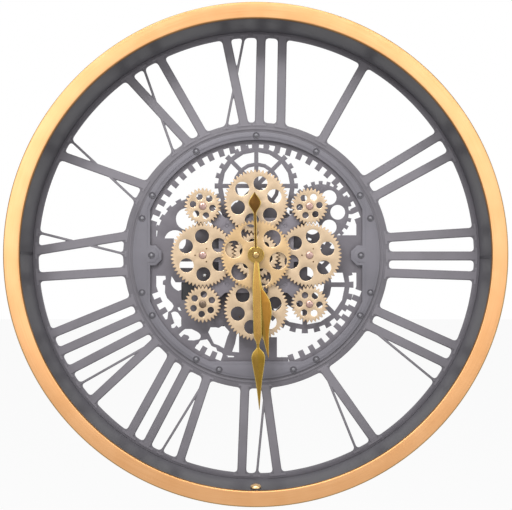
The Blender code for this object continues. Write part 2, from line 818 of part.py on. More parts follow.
def rivets(finish):
    head_rear = BAND_FRONT - SEAT
    tail = BACK_PLATE_REAR + RIVET_TAIL
    profile = dome(RIVET_HEAD_RADIUS, RIVET_HEAD_HEIGHT, head_rear, 1)
    profile += [(RIVET_SHANK_RADIUS, head_rear), (RIVET_SHANK_RADIUS, tail)]
    for number, (x, z) in enumerate(rivet_places(), start=1):
        turned(f"rivet_{number:02d}", profile, HOLE_SIDES, finish, (x, 0, z))


# Back plate

def spoked_wheel(centre, radius, tooth_depth, rim_width, ring_inner, ring_outer, spoke_width):
    """A toothed rim and an inner ring or disc, joined by spokes that line up with teeth."""
    rim_inner = radius - tooth_depth - rim_width
    reach = rim_inner + rim_width / 2
    shapes = [
        (ADD, square_teeth(radius, radius - tooth_depth, WHEEL_TOOTH_COUNT, centre, 0.0)),
        (CUT, circle(rim_inner, WHEEL_SIDES, centre)),
        (ADD, circle(ring_outer, WHEEL_SIDES, centre)),
    ]
    if ring_inner:
        shapes.append((CUT, circle(ring_inner, WHEEL_SIDES, centre)))
    for i in range(WHEEL_SPOKE_COUNT // 2):
        angle = TURN * i / WHEEL_SPOKE_COUNT
        ends = polar(reach, angle, centre), polar(reach, angle + TURN / 2, centre)
        shapes.append((ADD, band_of(*ends, spoke_width)))
    return shapes


def toothed_disc(centre, radius, tooth_depth, tooth_angle, window_circle, window_radius, window_angles):
    """A disc with square teeth round it and round windows in it."""
    phase = math.radians(tooth_angle)
    shapes = [(ADD, square_teeth(radius, radius - tooth_depth, WHEEL_TOOTH_COUNT, centre, phase))]
    for angle in window_angles:
        place = polar(window_circle, math.radians(angle), centre)
        shapes.append((CUT, circle(window_radius, WHEEL_SIDES, place)))
    return shapes


def half_turned(outline):
    return [(-x, -z) for x, z in outline]


def back_plate_ring():
    """The ring with its inner teeth, which give way to straight edges at both sides and at the foot."""
    phase = TURN / 4 - math.radians(INNER_TOOTH_CLOCK_DEGREES)
    teeth = square_teeth(INNER_TOOTH_TIP, INNER_TOOTH_ROOT, INNER_TOOTH_COUNT, (0.0, 0.0), phase)
    side = rectangle((SIDE_EDGE, -SIDE_EDGE_HALF_HEIGHT), (PLATE_REACH, SIDE_EDGE_HALF_HEIGHT))
    foot = rectangle((-FOOT_EDGE_HALF_WIDTH, -PLATE_REACH), (FOOT_EDGE_HALF_WIDTH, -FOOT_EDGE))
    shapes = [(ADD, circle(BACK_PLATE_RADIUS, RIM_SIDES)), (CUT, teeth)]
    return shapes + [(ADD, side), (ADD, half_turned(side)), (ADD, foot)]


def back_plate_centre():
    """The middle of the plate, with the bars and tabs that join it to the ring."""
    wide = CENTRE_HALF_WIDTH
    high = CENTRE_HALF_HEIGHT
    corners = [(wide, CENTRE_CORNER - wide), (CENTRE_CORNER - high, high)]
    upper = corners + [(-x, z) for x, z in reversed(corners)]
    shapes = [(ADD, upper + half_turned(upper))]
    for corners in (RIGHT_TAB, LEFT_TAB, CROSS_BAR, FOOT_BLOCK, FOOT_BAR, FOOT_BAR_SIDE):
        shapes.append((ADD, rectangle(*corners)))
    shapes.append((CUT, rectangle(*SLOT)))
    return shapes


def back_plate_shapes():
    shapes = back_plate_ring()
    shapes += toothed_disc(**UPPER_LEFT_DISC)
    shapes.append((ADD, list(LOWER_LEFT_OUTLINE)))
    shapes += [(CUT, list(window)) for window in LOWER_LEFT_WINDOWS]
    shapes += toothed_disc(**UPPER_RIGHT_DISC)
    shapes += spoked_wheel(**RIGHT_WHEEL)
    inner, outer = RIGHT_WHEEL_WINDOW
    for middle in RIGHT_WHEEL_WINDOW_MIDDLES:
        half = RIGHT_WHEEL_WINDOW_HALF_ANGLE
        shapes.append((CUT, arc_window(inner, outer, middle, half, RIGHT_WHEEL["centre"], ARC_STEPS)))
    shapes += spoked_wheel(**TOP_WHEEL)
    return shapes + back_plate_centre()


def post_places():
    return [(x * POST_PLACE, z * POST_PLACE) for x in (-1, 1) for z in (-1, 1)]


def back_plate(finish):
    holes = rivet_holes() + pressed_holes(POST_STUB_RADIUS, post_places())
    holes.append(round_hole(BUSH_RADIUS, PRESS_CLEARANCE, TUBE_SIDES))
    holes.append(round_hole(PIN_RADIUS, SHAFT_CLEARANCE, PIN_SIDES, DRIVE_PLACE))
    shapes = back_plate_shapes()
    sheet("back_plate", shapes, BACK_PLATE_THICK, finish, (0, BACK_PLATE_FRONT, 0), holes=holes)


# Gear work

GEAR_PLACES = {
    "large_gear_right": (GEAR_DISTANCE, 0.0),
    "large_gear_top": (0.0, GEAR_DISTANCE),
    "large_gear_left": (-GEAR_DISTANCE, 0.0),
    "large_gear_bottom": (0.0, -GEAR_DISTANCE),
    "small_gear_upper_right": (GEAR_DISTANCE, SMALL_DISTANCE),
    "small_gear_lower_right": (GEAR_DISTANCE, -SMALL_DISTANCE),
    "small_gear_upper_left": (-GEAR_DISTANCE, SMALL_DISTANCE),
    "small_gear_lower_left": DRIVE_PLACE,
}
HOLE_CLOCK_DEGREES = {
    "large_gear_right": 10,
    "large_gear_top": 13,
    "large_gear_left": -2,
    "large_gear_bottom": 15,
    "small_gear_upper_right": 24,
    "small_gear_lower_right": 33,
    "small_gear_upper_left": 41,
    "small_gear_lower_left": 6,
}


def meshing_phase(direction, teeth, phase, other_teeth):
    """The phase that sets a valley of the other gear against a tooth of this one, between their axes."""
    offset = (direction - phase) * teeth / TURN % 1
    return direction + TURN / 2 - (0.5 - offset) * TURN / other_teeth


def gear_plate(finish):
    shapes = []
    for place in GEAR_PLACES.values():
        shapes.append((ADD, circle(GEAR_PLATE_EAR_RADIUS, HOLE_SIDES, place, math.pi / HOLE_SIDES)))
        shapes.append((ADD, band_of((0.0, 0.0), place, GEAR_PLATE_ARM_WIDTH)))
    half = GEAR_PLATE_MIDDLE_HALF_WIDTH
    shapes.append((ADD, rectangle((-half, -half), (half, half))))
    holes = pressed_holes(POST_STUB_RADIUS, post_places())
    for place in GEAR_PLACES.values():
        clearance = SHAFT_CLEARANCE if place == DRIVE_PLACE else PRESS_CLEARANCE
        holes.append(round_hole(PIN_RADIUS, clearance, PIN_SIDES, place))
    holes.append(round_hole(BUSH_RADIUS, PRESS_CLEARANCE, TUBE_SIDES))
    sheet("gear_plate", shapes, GEAR_PLATE_THICK, finish, (0, GEAR_PLATE_FRONT, 0), holes=holes)


def gear_plate_posts(finish):
    front = POST_FRONT
    rear = BACK_PLATE_FRONT - SEAT
    profile = (
        (POST_STUB_RADIUS, GEAR_PLATE_FRONT),
        (POST_STUB_RADIUS, front),
        (POST_RADIUS, front),
        (POST_RADIUS, rear),
        (POST_STUB_RADIUS, rear),
        (POST_STUB_RADIUS, BACK_PLATE_REAR),
    )
    for number, (x, z) in enumerate(post_places(), start=1):
        turned(f"gear_plate_post_{number}", profile, PIN_SIDES, finish, (x, 0, z))


def gear(name, teeth, phase, holes, place, finish):
    """A gear on its pin, with its origin on the pin's axis."""
    clearance = PRESS_CLEARANCE if place == DRIVE_PLACE else SHAFT_CLEARANCE
    bores = hole_ring(holes, HOLE_CLOCK_DEGREES[name])
    bores.append(round_hole(PIN_RADIUS, clearance, PIN_SIDES))
    outline = [(ADD, gear_outline(teeth, TOOTH_MODULE, phase))]
    location = (place[0], GEAR_FRONT, place[1])
    sheet(name, outline, GEAR_THICK, finish, location, holes=bores)


def gear_pin(name, place, rear, finish):
    head_rear = GEAR_FRONT - SEAT
    collar_front = GEAR_REAR + SEAT
    collar_rear = GEAR_PLATE_FRONT - SEAT
    profile = dome(PIN_HEAD_RADIUS, PIN_HEAD_HEIGHT, head_rear, 1)
    profile += [
        (PIN_RADIUS, head_rear),
        (PIN_RADIUS, collar_front),
        (PIN_HEAD_RADIUS, collar_front),
        (PIN_HEAD_RADIUS, collar_rear),
        (PIN_RADIUS, collar_rear),
        (PIN_RADIUS, rear),
    ]
    turned(name, profile, PIN_SIDES, finish, (place[0], 0, place[1]))


def centre_gears(gold):
    """The pinion between the large gears, with a wider gear in front of it."""
    bore = [round_hole(BUSH_RADIUS, SHAFT_CLEARANCE, TUBE_SIDES)]
    pinion = [(ADD, gear_outline(PINION_TEETH, TOOTH_MODULE, PINION_PHASE))]
    pinion_length = GEAR_PLATE_FRONT - SEAT - PINION_FRONT
    holes = hole_ring(PINION_HOLES, FRONT_HOLE_CLOCK_DEGREES) + bore
    sheet("centre_pinion", pinion, pinion_length, gold, (0, PINION_FRONT, 0), holes=holes)
    front = [(ADD, gear_outline(FRONT_TEETH, FRONT_MODULE, PINION_PHASE))]
    holes = hole_ring(FRONT_HOLES, FRONT_HOLE_CLOCK_DEGREES) + bore
    sheet("centre_gear", front, FRONT_GEAR_THICK, gold, (0, FRONT_GEAR_FRONT, 0), holes=holes)


def gear_work(gold, steel):
    centre_gears(gold)
    for name, place in GEAR_PLACES.items():
        if name.startswith("large"):
            direction = math.atan2(place[1], place[0])
            phase = meshing_phase(direction, PINION_TEETH, PINION_PHASE, LARGE_TEETH)
            gear(name, LARGE_TEETH, phase, LARGE_HOLES, place, gold)
        else:
            carrier = math.atan2(0.0, place[0])
            carrier_phase = meshing_phase(carrier, PINION_TEETH, PINION_PHASE, LARGE_TEETH)
            direction = math.copysign(TURN / 4, place[1])
            phase = meshing_phase(direction, LARGE_TEETH, carrier_phase, SMALL_TEETH)
            gear(name, SMALL_TEETH, phase, SMALL_HOLES, place, gold)
        if place == DRIVE_PLACE:
            gear_pin("drive_arbor", place, -CASE_WALL - SEAT, steel)
        else:
            gear_pin(name.replace("gear", "gear_pin"), place, GEAR_PLATE_REAR + PIN_TAIL, steel)


# Hands

def hand_outline(stations, up):
    right = [(half, up * reach) for reach, half in stations]
    left = [(-half, up * reach) for reach, half in reversed(stations)]
    return right + left


def hand_crease(stations, up):
    """The ridge line of a hand, between its first and last stations."""
    tallest = max(half for _, half in stations)
    line = [(0.0, up * (HAND_HUB_RADIUS + HAND_THICK), 0.0)]
    line += [(0.0, up * reach, HAND_RIDGE * half / tallest) for reach, half in stations[1:-1]]
    line.append((0.0, up * (stations[-1][0] - HAND_THICK), 0.0))
    return line


def hand(name, parts, shaft_radius, front, degrees, finish):
    shapes = [(ADD, circle(HAND_HUB_RADIUS, DISC_SIDES))]
    shapes += [(ADD, hand_outline(stations, up)) for stations, up in parts]
    creases = [hand_crease(stations, up) for stations, up in parts]
    bore = [round_hole(shaft_radius, PRESS_CLEARANCE, TUBE_SIDES)]
    made = sheet(name, shapes, HAND_THICK, finish, (0, front, 0), holes=bore, creases=creases)
    made.rotation_euler = (0, math.radians(degrees), 0)


def hands(finish):
    hour = [(HOUR_STATIONS, 1)]
    hand("hour_hand", hour, HOUR_TUBE_RADIUS, HOUR_HAND_FRONT, HOUR_HAND_CLOCK_DEGREES, finish)
    minute = [(MINUTE_STATIONS, 1), (TAIL_STATIONS, -1)]
    hand("minute_hand", minute, MINUTE_SHAFT_RADIUS, MINUTE_HAND_FRONT, MINUTE_HAND_CLOCK_DEGREES, finish)
    turned("hand_nut", dome(NUT_RADIUS, NUT_HEIGHT, NUT_REAR, DOME_STEPS), TUBE_SIDES, finish, (0, 0, 0))


# Movement

def tube(name, outer, inner, front, rear, finish):
    profile = ((outer, front), (outer, rear), (inner, rear), (inner, front))
    turned(name, profile, TUBE_SIDES, finish, (0, 0, 0), closed=True)


def bore_radius(shaft_radius, clearance):
    return (shaft_radius + clearance) / math.cos(math.pi / TUBE_SIDES)


def shafts(brass, steel):
    bush_bore = bore_radius(HOUR_TUBE_RADIUS, SHAFT_CLEARANCE)
    head_rear = BUSH_FRONT + BUSH_HEAD_THICK
    rear = CASE_FLOOR + SEAT
    profile = (
        (bush_bore, BUSH_FRONT),
        (BUSH_HEAD_RADIUS, BUSH_FRONT),
        (BUSH_HEAD_RADIUS, head_rear),
        (BUSH_RADIUS, head_rear),
        (BUSH_RADIUS, rear),
        (bush_bore, rear),
    )
    turned("centre_bush", profile, TUBE_SIDES, brass, (0, 0, 0), closed=True)
    tube_bore = bore_radius(MINUTE_SHAFT_RADIUS, SHAFT_CLEARANCE)
    tube("hour_tube", HOUR_TUBE_RADIUS, tube_bore, HOUR_HAND_FRONT - SEAT, CASE_FLOOR / 2, brass)
    shaft = ((MINUTE_SHAFT_RADIUS, MINUTE_HAND_FRONT), (MINUTE_SHAFT_RADIUS, -CASE_WALL - SEAT))
    turned("minute_shaft", shaft, TUBE_SIDES, steel, (0, 0, 0))


def clockwork_case(prefix, centre, shaft_radius, cover_holes, finishes):
    """A square case open at the back, with a cover over its works and a bay for one cell under them."""
    plastic, cover_plastic, cell_finish = finishes
    x, z = centre
    half = CASE_WIDTH / 2
    inner = half - CASE_WALL
    bay_top = -inner + CELL_BAY_HEIGHT
    works_foot = bay_top + CASE_WALL
    case = block(prefix + "_case", (-half, -CASE_DEPTH, -half), (half, 0, half), plastic, (x, 0, z))
    pockets = {
        "_works_cutter": ((-inner, CASE_FLOOR, works_foot), (inner, CASE_WALL, inner)),
        "_bay_cutter": ((-inner, CASE_FLOOR, -inner), (inner, CASE_WALL, bay_top)),
    }
    for name, (low, high) in pockets.items():
        cut_away(case, block(prefix + name, low, high, plastic, (x, 0, z)))
    bore = bore_radius(shaft_radius, SHAFT_CLEARANCE)
    through = ((bore, -CASE_DEPTH - CASE_WALL), (bore, CASE_FLOOR + CASE_WALL))
    cut_away(case, turned(prefix + "_bore_cutter", through, TUBE_SIDES, plastic, (x, 0, z)))
    plate = rectangle((-inner + SEAT, works_foot + SEAT), (inner - SEAT, inner - SEAT))
    location = (x, -CASE_WALL, z)
    sheet(prefix + "_cover", [(ADD, plate)], CASE_WALL, cover_plastic, location, holes=cover_holes)
    cell_middle = -inner + CELL_BAY_HEIGHT / 2
    cell_half = CELL_LENGTH / 2
    profile = (
        (CELL_TIP_RADIUS, -cell_half - CELL_TIP_LENGTH),
        (CELL_TIP_RADIUS, -cell_half),
        (CELL_RADIUS, -cell_half),
        (CELL_RADIUS, cell_half),
    )
    cell_depth = CASE_FLOOR + SEAT + CELL_RADIUS
    cell = turned(prefix + "_cell", profile, TUBE_SIDES, cell_finish, (x, cell_depth, z + cell_middle))
    cell.rotation_euler = (0, 0, TURN / 4)


def setting_knob(finish):
    front = -KNOB_RECESS - KNOB_HEIGHT
    profile = (
        (KNOB_STEM_RADIUS, CASE_FLOOR + SEAT),
        (KNOB_STEM_RADIUS, front),
        (KNOB_RADIUS, front),
        (KNOB_RADIUS, -KNOB_RECESS),
    )
    turned("setting_knob", profile, TUBE_SIDES, finish, (KNOB_PLACE[0], 0, KNOB_PLACE[1]))


# The whole clock

def build():
    for leftover in list(bpy.data.objects):
        bpy.data.objects.remove(leftover)
    rim_gold = material("rim_gold", (0.83, 0.55, 0.27), 0.32, 0.9)
    gear_gold = material("gear_gold", (0.86, 0.64, 0.35), 0.35, 0.85)
    hand_gold = material("hand_gold", (0.50, 0.35, 0.09), 0.35, 0.9)
    dark_grey = material("dark_grey", (0.16, 0.155, 0.175), 0.5, 0.6)
    liner_grey = material("liner_grey", (0.10, 0.10, 0.115), 0.55, 0.5)
    plate_grey = material("plate_grey", (0.19, 0.19, 0.21), 0.5, 0.6)
    rivet_grey = material("rivet_grey", (0.14, 0.14, 0.155), 0.4, 0.7)
    steel = material("steel", (0.55, 0.53, 0.50), 0.35, 1.0)
    brass = material("brass", (0.70, 0.52, 0.24), 0.3, 1.0)
    black_plastic = material("black_plastic", (0.02, 0.02, 0.022), 0.45, 0.0)
    cover_plastic = material("cover_plastic", (0.05, 0.05, 0.055), 0.5, 0.0)
    knob_plastic = material("knob_plastic", (0.55, 0.55, 0.52), 0.5, 0.0)
    cell_finish = material("cell_finish", (0.30, 0.31, 0.33), 0.4, 0.6)

    outer_hoop(rim_gold)
    inner_liner(liner_grey)
    liner_screw(rim_gold)
    wall_hanger(steel)
    dial_plate(dark_grey)
    centre_band(dark_grey)
    rivets(rivet_grey)
    back_plate(plate_grey)
    gear_plate(plate_grey)
    gear_plate_posts(steel)
    gear_work(gear_gold, steel)
    hands(hand_gold)
    shafts(brass, steel)
    knob_opening = [round_hole(KNOB_RADIUS, SEAT, TUBE_SIDES, KNOB_PLACE)]
    case_finishes = (black_plastic, cover_plastic, cell_finish)
    clockwork_case("movement", (0.0, 0.0), BUSH_RADIUS, knob_opening, case_finishes)
    clockwork_case("drive", DRIVE_PLACE, PIN_RADIUS, (), case_finishes)
    setting_knob(knob_plastic)


build()
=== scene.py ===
"""Looks of the gear wall clock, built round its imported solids.

Metres, +Z up. The wall is the plane y = 0, the dial faces -Y, and the hands turn about the Y axis.
A spot is an (x, z) pair on the dial, and a front and a rear are places along Y.
"""

import json
import math

import bmesh
import bpy
from mathutils import Matrix, Vector
from mathutils.geometry import delaunay_2d_cdt

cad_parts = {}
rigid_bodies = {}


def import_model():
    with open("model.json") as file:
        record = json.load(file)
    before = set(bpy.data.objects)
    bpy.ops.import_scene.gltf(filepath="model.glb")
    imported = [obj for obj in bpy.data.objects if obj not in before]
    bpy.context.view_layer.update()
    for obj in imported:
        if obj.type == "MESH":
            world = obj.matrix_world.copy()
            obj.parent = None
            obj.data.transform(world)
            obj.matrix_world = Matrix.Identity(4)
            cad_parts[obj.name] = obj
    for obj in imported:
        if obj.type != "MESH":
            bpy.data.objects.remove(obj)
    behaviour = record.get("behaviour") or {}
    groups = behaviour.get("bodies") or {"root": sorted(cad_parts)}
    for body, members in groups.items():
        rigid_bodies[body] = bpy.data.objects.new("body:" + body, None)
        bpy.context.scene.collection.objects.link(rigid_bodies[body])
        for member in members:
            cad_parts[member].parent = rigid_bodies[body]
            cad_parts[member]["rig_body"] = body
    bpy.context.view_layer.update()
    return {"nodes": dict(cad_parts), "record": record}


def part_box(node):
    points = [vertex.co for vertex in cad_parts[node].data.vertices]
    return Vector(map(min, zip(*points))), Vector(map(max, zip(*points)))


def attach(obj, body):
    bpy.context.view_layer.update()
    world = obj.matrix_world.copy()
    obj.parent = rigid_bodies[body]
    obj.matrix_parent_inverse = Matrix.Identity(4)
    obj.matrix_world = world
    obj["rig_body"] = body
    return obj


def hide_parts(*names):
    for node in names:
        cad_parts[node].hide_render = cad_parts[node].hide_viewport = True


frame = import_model()
NODES = frame["nodes"]
SLOTS = {entry["node"]: entry["material_slot"] for entry in frame["record"]["subparts"]}
TURN = math.tau
MM = 0.001
AXIS = (0.0, 0.0)
TOUCH = 1e-6


# Camera, at the photograph's viewing angle

PHOTO_SIDE = 512
CAMERA_PLACE = (16.4 * MM, -1170 * MM, -27.3 * MM)
CAMERA_LENS = 65.23
CAMERA_SENSOR = 36
CAMERA_SHIFT = (-13.5 / PHOTO_SIDE, 22.5 / PHOTO_SIDE)


def linked(name, data, place=(0, 0, 0)):
    """A new object in the scene."""
    holder = bpy.data.objects.new(name, data)
    holder.location = place
    bpy.context.scene.collection.objects.link(holder)
    return holder


def add_camera():
    camera = bpy.data.cameras.new("camera")
    camera.sensor_width = CAMERA_SENSOR
    camera.lens = CAMERA_LENS
    camera.shift_x, camera.shift_y = CAMERA_SHIFT
    holder = linked("camera", camera, CAMERA_PLACE)
    holder.rotation_euler = (TURN / 4, 0, 0)
    bpy.context.scene.camera = holder


# Studio

WHITE = (1, 1, 1, 1)
WORLD_DIFFUSE = 0.30
FLOOR_DEPTH = 620 * MM
FLOOR_HALF_SIDE = 12
FLOOR_PAINT = (0.80, 0.80, 0.80, 1)
FLOOR_GLOW = 0.94
LAMPS = (
    # name, place, size, power in watts
    ("key_upper_left", (-1.1, -1.6, 1.5), 0.45, 22),
    ("fill_right", (1.7, -1.3, 0.5), 1.2, 7.5),
    ("top", (0.0, -1.0, 1.4), 1.1, 21),
    ("rim_left", (-0.70, -1.72, 0.30), 0.8, 2.4),
    ("rim_right", (0.62, -1.72, 0.30), 0.8, 2.0),
)


def fill(tree, made, inputs):
    """Give a shader node its inputs, as values or as sockets to link."""
    for key, value in inputs.items():
        if isinstance(value, bpy.types.NodeSocket):
            tree.links.new(value, made.inputs[key])
        else:
            made.inputs[key].default_value = value


def node(tree, kind, inputs=None, **settings):
    """The outputs of a new shader node."""
    made = tree.nodes.new("ShaderNode" + kind)
    for key, value in settings.items():
        setattr(made, key, value)
    fill(tree, made, inputs or {})
    return made.outputs


def maths(tree, operation, first, second):
    return node(tree, "Math", {0: first, 1: second}, operation=operation)[0]


def mapped(tree, value, low, high, to_low=0.0, to_high=1.0):
    inputs = {"Value": value, "From Min": low, "From Max": high, "To Min": to_low, "To Max": to_high}
    return node(tree, "MapRange", inputs)[0]


def empty_tree(holder):
    holder.use_nodes = True
    holder.node_tree.nodes.clear()
    return holder.node_tree


def seen_or_mirrored(tree):
    """One for what the camera sees, straight, mirrored or through glass, and zero for what only lights."""
    path = node(tree, "LightPath")
    seen = maths(tree, "MAXIMUM", path["Is Camera Ray"], path["Is Glossy Ray"])
    return maths(tree, "MAXIMUM", seen, path["Is Transmission Ray"])


def add_world():
    """White where it is seen or mirrored, and dimmer as a light."""
    world = bpy.data.worlds.new("studio")
    tree = empty_tree(world)
    level = mapped(tree, seen_or_mirrored(tree), 0.0, 1.0, WORLD_DIFFUSE)
    back = node(tree, "Background", {"Color": WHITE, "Strength": level})[0]
    node(tree, "OutputWorld", {"Surface": back})
    bpy.context.scene.world = world


def add_lamps():
    """Round lamps that face the middle of the clock."""
    for name, place, size, power in LAMPS:
        lamp = bpy.data.lights.new(name, "AREA")
        lamp.shape = "DISK"
        lamp.size = size
        lamp.energy = power
        holder = linked(name, lamp, place)
        holder.rotation_euler = (-Vector(place)).to_track_quat("-Z", "Y").to_euler()


def add_floor():
    """A pale floor under the clock, which looks white and keeps the clock's shadow."""
    half = FLOOR_HALF_SIDE
    corners = [(x, y, -FLOOR_DEPTH) for x, y in ((-half, -half), (half, -half), (half, half), (-half, half))]
    mesh = bpy.data.meshes.new("floor")
    mesh.from_pydata(corners, [], [(0, 1, 2, 3)])
    paint = bpy.data.materials.new("floor")
    tree = empty_tree(paint)
    pale = node(tree, "BsdfDiffuse", {"Color": FLOOR_PAINT})[0]
    glow = node(tree, "Emission", {"Color": WHITE, "Strength": 1.0})[0]
    seen = maths(tree, "MULTIPLY", seen_or_mirrored(tree), FLOOR_GLOW)
    mixed = node(tree, "MixShader", {0: seen, 1: pale, 2: glow})[0]
    node(tree, "OutputMaterial", {"Surface": mixed})
    mesh.materials.append(paint)
    linked("floor", mesh)


def add_studio():
    add_world()
    add_lamps()
    add_floor()
    bpy.context.scene.view_settings.view_transform = "Standard"


# Finishes

NOISE_LOW = 0.3
NOISE_HIGH = 0.7
METAL_CONTRAST = 0.12
METAL_SPREAD = 0.06
PAINT_CONTRAST = 0.14
PAINT_SMOOTHER = 0.05
PAINT_ROUGHER = 0.07
WALL_CONTRAST = 0.35
PEEL_HEIGHT = 0.05 * MM
RUNS_PER_TURN = 5.0
EVEN_GRAIN = (900, 900, 900)
HAND_GRAIN = (1200, 1200, 120)
HAND_BUMP = 0.08
CELL_GRAIN = (200, 2500, 2500)
PLASTIC_GRAIN = 3500
PLASTIC_BUMP = 0.35


def own_place(tree):
    return node(tree, "TexCoord")["Object"]


def noise(tree, vector, scale=1.0, detail=3.0, roughness=0.6):
    inputs = {"Vector": vector, "Scale": scale, "Detail": detail, "Roughness": roughness}
    return node(tree, "TexNoise", inputs)[0]


def specks(tree, per_metre, detail=2.0):
    """Even noise, so many specks per metre."""
    return noise(tree, own_place(tree), per_metre, detail, 0.5)


def turned_grain(tree, across, along):
    """Noise drawn out round the piece's own Y axis: lines per metre across, and runs per turn."""
    parts = node(tree, "SeparateXYZ", {0: own_place(tree)})
    flat = node(tree, "CombineXYZ", {0: parts[0], 1: parts[2]})[0]
    radius = node(tree, "VectorMath", {0: flat}, operation="LENGTH")["Value"]
    around = node(tree, "VectorMath", {0: flat}, operation="NORMALIZE")[0]
    wide = node(tree, "VectorMath", {0: around, 3: along}, operation="SCALE")[0]
    reach = maths(tree, "MULTIPLY", maths(tree, "ADD", radius, parts[1]), across)
    lift = node(tree, "CombineXYZ", {2: reach})[0]
    return noise(tree, node(tree, "VectorMath", {0: wide, 1: lift}, operation="ADD")[0])


def blended(tree, first, second, share):
    """The first value by its share, and the second by the rest."""
    parts = [maths(tree, "MULTIPLY", *part) for part in ((first, share), (second, 1 - share))]
    return maths(tree, "ADD", *parts)


def skin(tree, colours, tone, contrast, rough, rough_tone, relief, strength, height):
    """The colour, roughness and relief of a finish, each from its own factor."""
    share = mapped(tree, tone, 0.5 - contrast, 0.5 + contrast)
    dark, light = ((*colour, 1) for colour in colours)
    return {
        "Base Color": node(tree, "Mix", {"Factor": share, "A": dark, "B": light}, data_type="RGBA")["Result"],
        "Roughness": mapped(tree, rough_tone, NOISE_LOW, NOISE_HIGH, *rough),
        "Normal": node(tree, "Bump", {"Height": relief, "Strength": strength, "Distance": height})[0],
    }


def turned_metal(tree, dark, light, rough, across=2600, coat=0.0, metallic=1.0):
    """Plated metal, brushed round the piece's own axis."""
    grain = turned_grain(tree, across, RUNS_PER_TURN)
    both = blended(tree, grain, specks(tree, 28), 0.6)
    between = (rough - METAL_SPREAD, rough + METAL_SPREAD)
    made = skin(tree, (dark, light), both, METAL_CONTRAST, between, grain, grain, 0.25, 0.04 * MM)
    tangent = node(tree, "Tangent", direction_type="RADIAL", axis="Y")[0]
    made.update({"Tangent": tangent, "Metallic": metallic, "Anisotropic": 0.6, "Coat Weight": coat,
                 "Coat Roughness": 0.22})
    return made


def satin_metal(tree, dark, light, rough, stretch=EVEN_GRAIN, bump=0.2, metallic=1.0):
    """Metal with a fine straight or even grain, stretched by lines per metre along X, Y and Z."""
    grain = noise(tree, node(tree, "VectorMath", {0: own_place(tree), 1: stretch}, operation="MULTIPLY")[0])
    both = blended(tree, grain, specks(tree, 60), 0.5)
    between = (rough - METAL_SPREAD, rough + METAL_SPREAD)
    made = skin(tree, (dark, light), both, METAL_CONTRAST, between, grain, grain, bump, 0.03 * MM)
    made["Metallic"] = metallic
    return made


def paint(tree, dark, light, rough, grain=2400, bump=0.3):
    """Sprayed paint or moulded plastic, with a fine skin and soft clouds."""
    cloud = specks(tree, 22, 4.0)
    peel = specks(tree, grain)
    both = blended(tree, cloud, peel, 0.75)
    between = (rough - PAINT_SMOOTHER, rough + PAINT_ROUGHER)
    return skin(tree, (dark, light), both, PAINT_CONTRAST, between, cloud, peel, bump, PEEL_HEIGHT)


def front_shaded_wall_paint(tree, dark, light, rough, front, rear):
    """Sprayed paint on a deep wall, darker towards its front: painted shade under the rim's lip."""
    depth = node(tree, "SeparateXYZ", {0: own_place(tree)})[1]
    cloud = specks(tree, 30, 4.0)
    both = blended(tree, cloud, mapped(tree, depth, front, rear), 0.35)
    peel = specks(tree, 1800)
    between = (rough - PAINT_SMOOTHER, rough + PAINT_ROUGHER)
    return skin(tree, (dark, light), both, WALL_CONTRAST, between, cloud, peel, 0.3, PEEL_HEIGHT)


def finished(name, kind, values):
    made = bpy.data.materials.new(name)
    made.use_nodes = True
    tree = made.node_tree
    fill(tree, tree.nodes["Principled BSDF"], kind(tree, *values))
    return made


